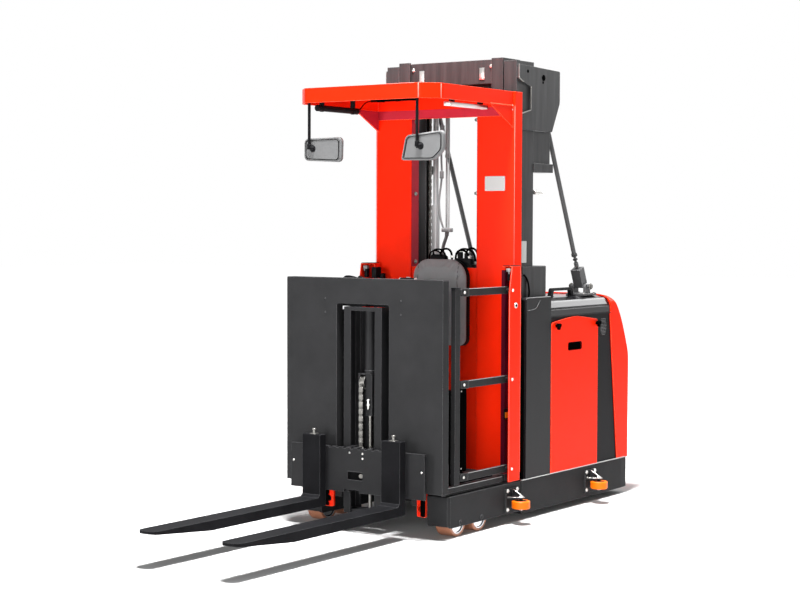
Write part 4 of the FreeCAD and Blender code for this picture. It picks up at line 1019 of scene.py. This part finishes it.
class ORDERPICKER_OT_rear_works(bpy.types.Operator):
    """Adds the valve blocks and hoses that show behind the backrest"""

    bl_idname = "orderpicker.rear_works"
    bl_label = "Works behind the backrest"

    def execute(self, context):
        fit("rear_valves", [
            block((-120, 409, 1376), (-10, 464, 1396), 3),
            rod((-104, 438, 1420), (-22, 438, 1420), 24, 4, 28),
            rod((-24, 438, 1420), (-10, 438, 1420), 18, 3, 24),
            block((62, 409, 1376), (168, 450, 1424), 4),
            rod((88, 430, 1420), (88, 430, 1458), 15, 3, 22),
            rod((130, 430, 1420), (130, 430, 1452), 15, 3, 22),
            block((-130, 400, 1372), (180, 407, 1390), 2),
            block((-30, 418, 1362), (40, 456, 1390), 3),
            block((150, 418, 1362), (208, 456, 1390), 3),
        ], "black_plastic", "platform")
        fit("rear_lines", [
            pipe([
                (-90, 430, 1440), (-96, 428, 1462), (-70, 427, 1474), (-36, 427, 1470), (-14, 428, 1448),
                (-4, 430, 1410), (0, 431, 1380),
            ], 5, 8),
            pipe([
                (-112, 420, 1392), (-116, 420, 1440), (-92, 420, 1466), (-52, 420, 1462),
                (-30, 422, 1440), (-24, 423, 1400),
            ], 5, 8),
            pipe([
                (-60, 443, 1430), (-52, 446, 1466), (-16, 448, 1478), (14, 448, 1462), (22, 446, 1420),
                (24, 443, 1384),
            ], 6, 8),
            pipe([
                (70, 438, 1424), (66, 437, 1456), (92, 435, 1476), (140, 434, 1474), (176, 434, 1452),
                (184, 435, 1410), (184, 437, 1376),
            ], 6, 8),
            pipe([
                (60, 423, 1396), (58, 422, 1440), (84, 420, 1470), (126, 420, 1466), (150, 422, 1436),
                (160, 423, 1392),
            ], 6, 8),
            pipe([
                (110, 443, 1420), (112, 446, 1462), (146, 448, 1484), (180, 448, 1470), (196, 446, 1430),
                (198, 443, 1380),
            ], 6, 8),
        ], "rubber", "platform", 60)
        fit("rear_fittings", [
            rod((-60, 443, 1424), (-60, 443, 1440), 9, 1.5, 6),
            rod((22, 446, 1424), (22, 446, 1438), 9, 1.5, 6),
            rod((150, 422, 1436), (156, 422, 1420), 9, 1.5, 6),
            rod((-108, 438, 1420), (-100, 438, 1420), 12, 2, 12),
            rod((88, 430, 1456), (88, 430, 1464), 8, 1.5, 6),
            rod((130, 430, 1450), (130, 430, 1458), 8, 1.5, 6),
        ], "zinc", "platform")
        return {"FINISHED"}


class ORDERPICKER_OT_stays(bpy.types.Operator):
    """Adds the nuts and eyes of the mast stays"""

    bl_idname = "orderpicker.stays"
    bl_label = "Stays"

    def execute(self, context):
        top = Vector((355, 836, 2328))
        foot = Vector((355, 1312, 1250))
        way = (foot - top).normalized()
        parts = []
        for back, length, radius, sides in ((212, 20, 17, 6), (178, 10, 14, 6), (118, 12, 15, 6)):
            start = foot - way * back
            parts.append(rod(start, start + way * length, radius, 2, sides))
        eye = top + way * 26
        parts.append(rod((330, eye.y, eye.z), (380, eye.y, eye.z), 22, 3, 28))
        pair("stay_nuts", parts, "mast_steel", "chassis")
        return {"FINISHED"}


class ORDERPICKER_OT_guard(bpy.types.Operator):
    """Adds the bars, ribs, window trim and cable duct of the overhead guard, with painted shade in its
    recesses and painted highlights on its bends
    """

    bl_idname = "orderpicker.guard"
    bl_label = "Overhead guard"

    def execute(self, context):
        fit("guard_bars", [
            rod((x, -302, 2312), (x, 92, 2312), 7, 1) for x in (-150, -50, 50, 150)
        ], "red_paint", "platform")
        fit("guard_ribs", [
            plate(rectangle(x - 22, -360, x + 22, 360, 6), "XY", 2304, 2321, 1.5, 2) for x in (-300, 300)
        ], "red_paint", "platform")
        frame_line = rectangle(-240, -309, 240, 98, 30)
        trim = pipe([(x, y, 2327) for x, y in frame_line + frame_line[:1]], 4, 8, smooth=False)
        fit("guard_window_trim", [trim], "rubber", "platform", 60)
        gusset = [(382, 2246), (166, 2246), (382, 2138)]
        # Dark red sheets on the rear beam, the gussets and the uprights' inner sides: painted shade.
        fit("guard_liners", [
            block((-438, 380.2, 2198), (438, 381.6, 2246), 0.5, 1),
            plate(gusset, "YZ", -440.6, -439.2, 0),
            plate(gusset, "YZ", 439.2, 440.6, 0),
            block((-217.8, 392, 1374), (-216.4, 461, 2196), 0.5, 1),
            block((216.4, 392, 1374), (217.8, 461, 2196), 0.5, 1),
        ], "shaded_red", "platform")
        # Pale red rods at the guard's corner bends and along its front edge: painted highlights.
        fit("guard_bends", [
            rod((361.1, -382.1, 2250), (361.1, -382.1, 2324), 5, 0.8, 20),
            rod((442.1, -301.1, 2250), (442.1, -301.1, 2324), 5, 0.8, 20),
            rod((-340, -388.6, 2325.6), (340, -388.6, 2325.6), 1.4, 0.4, 8),
        ], "red_edge", "platform", 60)
        duct = [rod((60, -374, 2243), (335, -374, 2243), 6, 1, 12)]
        duct += [block((x, -382, 2236), (x + 26, -366, 2250), 2) for x in (96, 214, 318)]
        fit("guard_duct", duct, "rubber", "platform")
        return {"FINISHED"}


class ORDERPICKER_OT_lamps(bpy.types.Operator):
    """Builds the tube lamp and the bar lamp under the guard"""

    bl_idname = "orderpicker.lamps"
    bl_label = "Lamps"

    def execute(self, context):
        middle = (-379, -83, 2230)
        cap = ((183, 0), (183, 12), (179, 17.5), (148, 17.5), (146, 15.5), (146, 0))
        tube = fit("tube_lamp", [
            turned([(-150, 0), (-150, 16.5), (150, 16.5), (150, 0)], middle, Y, 28),
            turned([(-y, radius) for y, radius in cap], middle, Y, 28),
            turned(cap, middle, Y, 28),
        ], "black_plastic", "platform")
        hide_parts("guard_lamps")
        holders = []
        for y in (-221, 55):
            holders += [
                block((-390, y - 10, 2240), (-368, y + 10, 2322), 2),
                turned(ring((8, 16.6), (8, 19.4)), (-379, y, 2230), Y, 24),
            ]
        for y in (-105, 165):
            holders.append(block((369, y - 15, 2242), (389, y + 15, 2322), 2))
        fit("lamp_holders", holders, "black_plastic", "platform")
        shell = plate(
            rounded_outline([(360, 2226), (398, 2226), (399, 2244), (359, 2244)], 4), "XZ", -132, 196, 1,
        )
        fit("bar_lamp", [shell], "zinc", "platform")
        lens = plate(
            rounded_outline([(363, 2222), (395, 2222), (397, 2228), (361, 2228)], 2.5), "XZ", -128, 192, 1,
        )
        fit("bar_lamp_lens", [lens], "lamp_lens", "platform")
        fit("bar_lamp_ends", [
            plate(rectangle(358, 2221, 400, 2245, 6), "XZ", low, high, 2.5, 2)
            for low, high in ((-150, -130), (194, 214))
        ], "zinc", "platform")
        lead = pipe([
            (-379, 100, 2238), (-379, 122, 2240), (-384, 150, 2262), (-392, 200, 2290),
            (-396, 280, 2300), (-396, 376, 2300),
        ], 3, 8)
        fit("lamp_lead", [lead], "rubber", "platform", 60)
        return {"FINISHED"}


class ORDERPICKER_OT_mirrors(bpy.types.Operator):
    """Builds the two mirrors with their rims, backs, glass and ball joints"""

    bl_idname = "orderpicker.mirrors"
    bl_label = "Mirrors"

    def execute(self, context):
        heads = {
            "left": (-346, [(-392, 1946), (-146, 1934), (-142, 2066), (-392, 2062)]),
            "right": (
                346, [(236, 1937, 12), (440, 1934, 60), (498, 1984, 50), (500, 2086, 22), (264, 2064, 34)],
            ),
        }
        for side, (stalk_x, corners) in heads.items():
            outline = rounded_outline(corners, 26, 7)
            rim = plate(outline, "XZ", -357, -337, 4, 3)
            sink(rim, lambda middle, normal: normal.y < -0.9, 7, (0, 3, 0))
            sink(rim, lambda middle, normal: normal.y > 0.9, 6, (0, -4, 0))
            rim = fit(f"mirror_rim_{side}", [rim], "grey_plastic", "platform")
            if side == "left":
                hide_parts("mirrors")
            centre = sum((Vector(corner[:2]) for corner in corners), Vector((0, 0))) / len(corners)
            inner = [tuple(centre + (Vector(spot) - centre) * 0.90) for spot in outline]
            back = plate(inner, "XZ", -359, -350, 2, 2)
            pick(back, faces=lambda middle, normal: normal.y < -0.9)
            bpy.ops.mesh.inset(thickness=0.006)
            bpy.ops.transform.translate(value=(0, -0.0015, 0))
            leave()
            fit(f"mirror_back_{side}", [back], "grey_plastic", "platform", 50)
            glass = plate(inner, "XZ", -345, -340.4, 0.8)
            fit(f"mirror_glass_{side}", [glass], "mirror_glass", "platform")
            lean = 46 if side == "left" else -14
            ball = (stalk_x + 14, -366, 2010)
            fit(f"mirror_stalk_{side}", [
                rod((stalk_x, -372, 2014), (stalk_x, -372, 2322), 8, 1.5),
                rod((stalk_x, -372, 2004), (stalk_x, -372, 2032), 12, 2.5),
                rod((stalk_x, -372, 2312), (stalk_x, -372, 2322), 17, 2),
                turned([(-11, 0), (-10, 5), (-6, 9.5), (0, 11), (6, 9.5), (10, 5), (11, 0)], ball, Z, 20),
                turned([(0, 20), (3, 20), (6, 16), (9, 12), (9, 0)], (stalk_x + 14, -357, 2008), -Y, 28),
                rod((stalk_x + lean * 0.5, -368, 2000), (stalk_x + 14, -366, 2008), 5, 1),
            ], "black_plastic", "platform")
        return {"FINISHED"}


class ORDERPICKER_OT_console(bpy.types.Operator):
    """Builds the desk's panels, display, stop button, steering wheel and lift lever"""

    bl_idname = "orderpicker.console"
    bl_label = "Console"

    def execute(self, context):
        slope = math.atan2(64, 120)
        tilt = moved((0, -208, 1292)) @ Matrix.Rotation(-slope, 4, X)
        fit("desk_panels", leaned(tilt, [
            block((-80, -38, 0), (60, 34, 9), 4),
            block((255, -34, 0), (315, 34, 5), 2),
            block((-305, -34, 0), (-260, 34, 6), 3),
        ]), "black_plastic", "platform")
        face = block((-70, -29, 8.6), (50, 25, 10.4), 0.6, 1)
        fit("display", leaned(tilt, [face]), "mirror_glass", "platform")
        stop = turned([(9, 0), (9, 14), (12, 17), (22, 17), (26, 13), (27, 0)], (285, 12, -4), Z, 28)
        fit("stop_button", leaned(tilt, [stop]), "red_paint", "platform")
        disc = [(9, 0), (9, 50), (12, 57), (18, 59), (24, 56), (25, 48), (20, 40), (19, 0)]
        knob = [(20, 0), (20, 8), (28, 9), (32, 14), (40, 15), (45, 11), (46, 0)]
        wheel = fit("steering_wheel", leaned(tilt, [
            turned([(0, 22), (7, 22), (9, 19), (9, 0)], (-180, 0, 0), Z, 32),
            turned(disc, (-180, 0, 0), Z, 48),
            turned(knob, (-142, 0, 0), Z, 24),
        ]), "black_plastic", "platform")
        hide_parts("controls")
        stem = [(0, 24), (3, 24), (8, 18), (11, 20), (15, 14), (18, 15), (22, 9), (22, 0)]
        fit("lift_lever", leaned(tilt, [
            turned(stem, (170, 0, 0), Z, 28),
            rod((120, 0, 31), (220, 0, 31), 13, 4, 24),
        ]), "black_plastic", "platform")
        fit("lever_caps", leaned(tilt, [
            rod((118, 0, 31), (126, 0, 31), 14, 3),
            rod((214, 0, 31), (222, 0, 31), 14, 3),
            block((158, -8, 42), (182, 8, 47), 1.5),
        ]), "zinc", "platform")
        return {"FINISHED"}


class ORDERPICKER_OT_platform(bpy.types.Operator):
    """Adds the floor mat, its skirts and a painted highlight along its edge, the foot switch, conduits,
    bushes and blank plates
    """

    bl_idname = "orderpicker.platform"
    bl_label = "Platform"

    def execute(self, context):
        mat = plate(rectangle(-425, -240, 425, 255, 24), "XY", 262, 267, 2, 2)
        fit(
            "floor_mat",
            [mat] + [block((x, -225, 266.4), (x + 7, 240, 269), 1, 1) for x in range(-410, 405, 22)],
            "rubber", "platform",
        )
        pair("floor_skirts", [block((452, -296, 222), (460, 264, 236), 1)], "charcoal_paint", "platform")
        # Grey rod along the platform's edge: a painted highlight.
        pair("floor_rims", [
            rod((467.4, -304, 261), (467.4, 266, 261), 1.6, 0.4, 8),
        ], "stay_grey", "platform", 60)
        fit("foot_switch", [
            plate(rectangle(90, -160, 210, -20, 14), "XY", 269, 279, 3, 2),
        ], "black_plastic", "platform")
        lines = []
        for x in (-440, 440):
            rings = []
            for step in range(19):
                z = 264 + step * 6
                rings += [(z - 262, 8.2), (z - 260, 9.6), (z - 258, 9.6), (z - 256.6, 8.2)]
            lines.append(turned([(0, 0)] + rings + [(120, 0)], (x, -228, 262), Z, 18))
        fit("floor_conduits", lines, "grey_plastic", "platform")
        fit("foot_bushes", [
            turned([(0, 17.5), (0, 24), (-4, 24), (-5, 22), (-5, 17.5)], (x, -252, 140), Y, 28)
            for x in (-300, 300)
        ], "red_paint", "platform")
        fit("foot_pads", [
            block((x, -262, 100), (x + 26, -252, 184), 3) for x in (-326, 300)
        ], "rubber", "platform")
        trim = plate(rectangle(272, 1793, 400, 1873, 5), "XZ", 386.4, 388, 0.3)
        fit("blank_plate", [trim], "pale_plate", "platform")
        bolts(
            "blank_plate_rivets", dome_bolt, [(x, 386.6, z) for x in (280, 392) for z in (1800, 1866)],
            -Y, "zinc", "platform", 2.6,
        )
        patch = plate(rectangle(513, 1402, 566, 1520, 3), "YZ", 430, 431, 0.3)
        fit("blank_patch", [patch], "pale_plate", "chassis")
        return {"FINISHED"}


class ORDERPICKER_OT_backrest(bpy.types.Operator):
    """Makes the operator's backrest: a crowned pad with two sewn seams on a hard rear shell"""

    bl_idname = "orderpicker.backrest"
    bl_label = "Backrest"

    def execute(self, context):
        outline = rounded_outline([
            (-174, 944, 42), (174, 944, 42), (174, 1419, 104), (-174, 1419, 104),
        ], 40, 10)
        pad = plate(outline, "XZ", 334, 370, 14, 4)
        # An even mesh for the cloth.
        remesh = pad.modifiers.new("voxels", "REMESH")
        remesh.mode = "VOXEL"
        remesh.voxel_size = 0.006
        remesh.use_smooth_shade = True
        only(pad)
        bpy.ops.object.modifier_apply(modifier="voxels")
        rest = [vertex.co.copy() for vertex in pad.data.vertices]
        # Air under the cover swells its front for twenty steps, while its rear is held.
        held = pad.vertex_groups.new(name="held")
        held.add([v.index for v in pad.data.vertices if v.co.y > 0.351], 1.0, "REPLACE")
        cloth = pad.modifiers.new("cover", "CLOTH")
        cover = cloth.settings
        cover.quality = 5
        cover.mass = 0.4
        cover.tension_stiffness = cover.compression_stiffness = 12
        cover.bending_stiffness = 3
        cover.use_pressure = True
        cover.uniform_pressure_force = 3
        cover.effector_weights.gravity = 0
        cover.vertex_group_mass = "held"
        cloth.point_cache.frame_start = 1
        cloth.point_cache.frame_end = 20
        for step in range(1, 21):
            context.scene.frame_set(step)
        bpy.ops.object.modifier_apply(modifier="cover")
        context.scene.frame_set(1)
        # The cover swells no further than the cap, and stays off the rear shell.
        cap = settings().cushion_cap
        for vertex, start in zip(pad.data.vertices, rest):
            move = vertex.co - start
            if move.length > cap:
                vertex.co = start + move.normalized() * cap
            vertex.co.y = min(vertex.co.y, 0.3995)
        # The two seams are sunk, and the front is crowned round its middle.
        centre = Vector((0, 1.19))
        for vertex in pad.data.vertices:
            spot = Vector((vertex.co.x, vertex.co.z))
            if vertex.co.y < PAD_FRONT:
                groove = math.exp(-((abs(spot.x) - SEAM_OUT) / 0.0040) ** 2)
                crown = 0.006 * math.exp(-((spot - centre).length / 0.16) ** 2)
                vertex.co.y += 0.0055 * groove - crown
                vertex.co.y = max(vertex.co.y, 0.3245)
        smooth = pad.modifiers.new("finer", "SUBSURF")
        smooth.levels = smooth.render_levels = 1
        bpy.ops.object.modifier_apply(modifier="finer")
        fit("backrest_pad", [pad], "cushion", "platform", 80)
        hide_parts("backrest")
        # Thread that follows the front along each seam.
        seams = []
        for x in (-131, 131):
            line = []
            for z in range(960, 1412, 12):
                front = [v.co for v in pad.data.vertices if v.co.y < PAD_FRONT]
                near = min(front, key=lambda co: (co.x - x * MM) ** 2 + (co.z - z * MM) ** 2)
                line.append((x, near.y / MM + 0.6, z))
            seams.append(pipe(line, 1.5, 8))
        fit("backrest_seams", seams, "black_plastic", "platform", 60)
        shell = rounded_outline([
            (-172, 942, 42), (172, 942, 42), (172, 1416, 104), (-172, 1416, 104),
        ], 44, 10)
        back = plate(shell, "XZ", 362, 399, 3, 2)
        fit("backrest_shell", [back], "black_plastic", "platform")
        return {"FINISHED"}


# ---------------------------------------------------------------- stage

def seen_directly(tree, lighting, shown):
    """Gives the camera, mirrors and glass one shader to see, and all other light another."""
    rays = add_node(tree, "LightPath").outputs
    seen = rays["Is Camera Ray"]
    for other in ("Is Glossy Ray", "Is Transmission Ray"):
        seen = add_node(tree, "Math", {0: seen, 1: rays[other]}, operation="MAXIMUM").outputs[0]
    return add_node(tree, "MixShader", {"Fac": seen, 1: lighting, 2: shown}).outputs[0]


def floor_material(lit, near, far):
    """Pale floor: soft shadows near the truck, glowing to white further out."""
    material = bpy.data.materials.new("pale_floor")
    material.use_nodes = True
    tree = material.node_tree
    tree.nodes.clear()
    diffuse = add_node(tree, "BsdfDiffuse", {"Color": (lit, lit, lit, 1)}).outputs[0]
    place = add_node(tree, "TexCoord").outputs["Object"]
    away = add_node(tree, "VectorMath", {0: place}, operation="LENGTH").outputs["Value"]
    glow = add_node(tree, "MapRange", {
        "From Min": 1.6, "From Max": 5.0, "To Min": near, "To Max": far, "Value": away,
    }).outputs["Result"]
    bright = add_node(tree, "Emission", {"Strength": glow}).outputs[0]
    both = add_node(tree, "AddShader", {0: diffuse, 1: bright}).outputs[0]
    add_node(tree, "OutputMaterial", {"Surface": seen_directly(tree, diffuse, both)})
    return material


def add_lamp(name, place, target, size, power):
    """A round soft light, in metres and watts, that faces its target."""
    light = bpy.data.lights.new(name, "AREA")
    light.shape = "DISK"
    light.size = size
    light.energy = power
    lamp = bpy.data.objects.new(name, light)
    bpy.context.scene.collection.objects.link(lamp)
    lamp.location = place
    lamp.rotation_euler = (Vector(target) - Vector(place)).to_track_quat("-Z", "Y").to_euler()


class ORDERPICKER_OT_stage(bpy.types.Operator):
    """Adds the floor, the soft light and the camera"""

    bl_idname = "orderpicker.stage"
    bl_label = "Stage"

    def execute(self, context):
        scene = context.scene
        scene.view_settings.view_transform = "Standard"
        clear()
        bpy.ops.mesh.primitive_plane_add(size=settings().floor_size)
        floor = context.object
        floor.name = "studio_floor"
        floor.data.materials.append(floor_material(lit=0.62, near=0.01, far=1.0))
        world = bpy.data.worlds.new("studio")
        scene.world = world
        world.use_nodes = True
        tree = world.node_tree
        tree.nodes.clear()
        dim, white = (
            add_node(tree, "Background", {"Color": (1, 1, 1, 1), "Strength": strength}).outputs[0]
            for strength in (0.10, 1.0)
        )
        add_node(tree, "OutputWorld", {"Surface": seen_directly(tree, dim, white)})
        middle = (0, 0, 1.2)
        add_lamp("front_light", (-2.5, -7.5, 1.4), middle, 2.4, 270)
        add_lamp("side_light", (8.0, -1.0, 1.4), middle, 2.4, 20)
        add_lamp("fill_light", (4.6, -8.4, 1.4), middle, 2.4, 260)
        add_lamp("back_light", (1.8, 8.0, 5.6), middle, 6.0, 480)
        add_lamp("top_light", (0.7, -1.2, 7.5), (0, -0.3, 0), 1.6, 2000)
        azimuth, elevation, roll = (
            math.radians(angle) for angle in (CAMERA_AZIMUTH, CAMERA_ELEVATION, CAMERA_ROLL)
        )
        flat = math.cos(elevation)
        back = Vector((math.sin(azimuth) * flat, -math.cos(azimuth) * flat, math.sin(elevation)))
        level = (-back).cross(Z).normalized()
        upward = level.cross(-back)
        right = level * math.cos(roll) + upward * math.sin(roll)
        up = -level * math.sin(roll) + upward * math.cos(roll)
        camera = bpy.data.objects.new("camera", bpy.data.cameras.new("camera"))
        scene.collection.objects.link(camera)
        camera.data.sensor_width = 36
        camera.data.lens = CAMERA_LENS
        turn = Matrix((right, up, back)).transposed().to_4x4()
        camera.matrix_world = Matrix.Translation(CAMERA_PLACE) @ turn
        camera.data.clip_end = 200
        scene.camera = camera
        return {"FINISHED"}


class ORDERPICKER_PT_panel(bpy.types.Panel):
    """Lists the order picker's operators"""

    bl_label = "Order picker"
    bl_space_type = "VIEW_3D"
    bl_region_type = "UI"
    bl_category = "Order picker"

    def draw(self, context):
        column = self.layout.column()
        for item in OrderPickerSettings.__annotations__:
            column.prop(context.scene.order_picker_settings, item)
        for step in STEPS:
            column.operator(step.bl_idname)


STEPS = (
    ORDERPICKER_OT_finishes,
    ORDERPICKER_OT_fastenings,
    ORDERPICKER_OT_welds,
    ORDERPICKER_OT_posts,
    ORDERPICKER_OT_covers,
    ORDERPICKER_OT_running_gear,
    ORDERPICKER_OT_fork_lift,
    ORDERPICKER_OT_mast_lines,
    ORDERPICKER_OT_rear_works,
    ORDERPICKER_OT_stays,
    ORDERPICKER_OT_guard,
    ORDERPICKER_OT_lamps,
    ORDERPICKER_OT_mirrors,
    ORDERPICKER_OT_console,
    ORDERPICKER_OT_platform,
    ORDERPICKER_OT_backrest,
    ORDERPICKER_OT_stage,
)
CLASSES = (OrderPickerSettings, *STEPS, ORDERPICKER_PT_panel)


def register():
    for item in CLASSES:
        bpy.utils.register_class(item)
    bpy.types.Scene.order_picker_settings = bpy.props.PointerProperty(type=OrderPickerSettings)


def unregister():
    del bpy.types.Scene.order_picker_settings
    for item in reversed(CLASSES):
        bpy.utils.unregister_class(item)


def main():
    register()
    for step in STEPS:
        group, name = step.bl_idname.split(".")
        getattr(getattr(bpy.ops, group), name)()


if __name__ == "__main__":
    main()
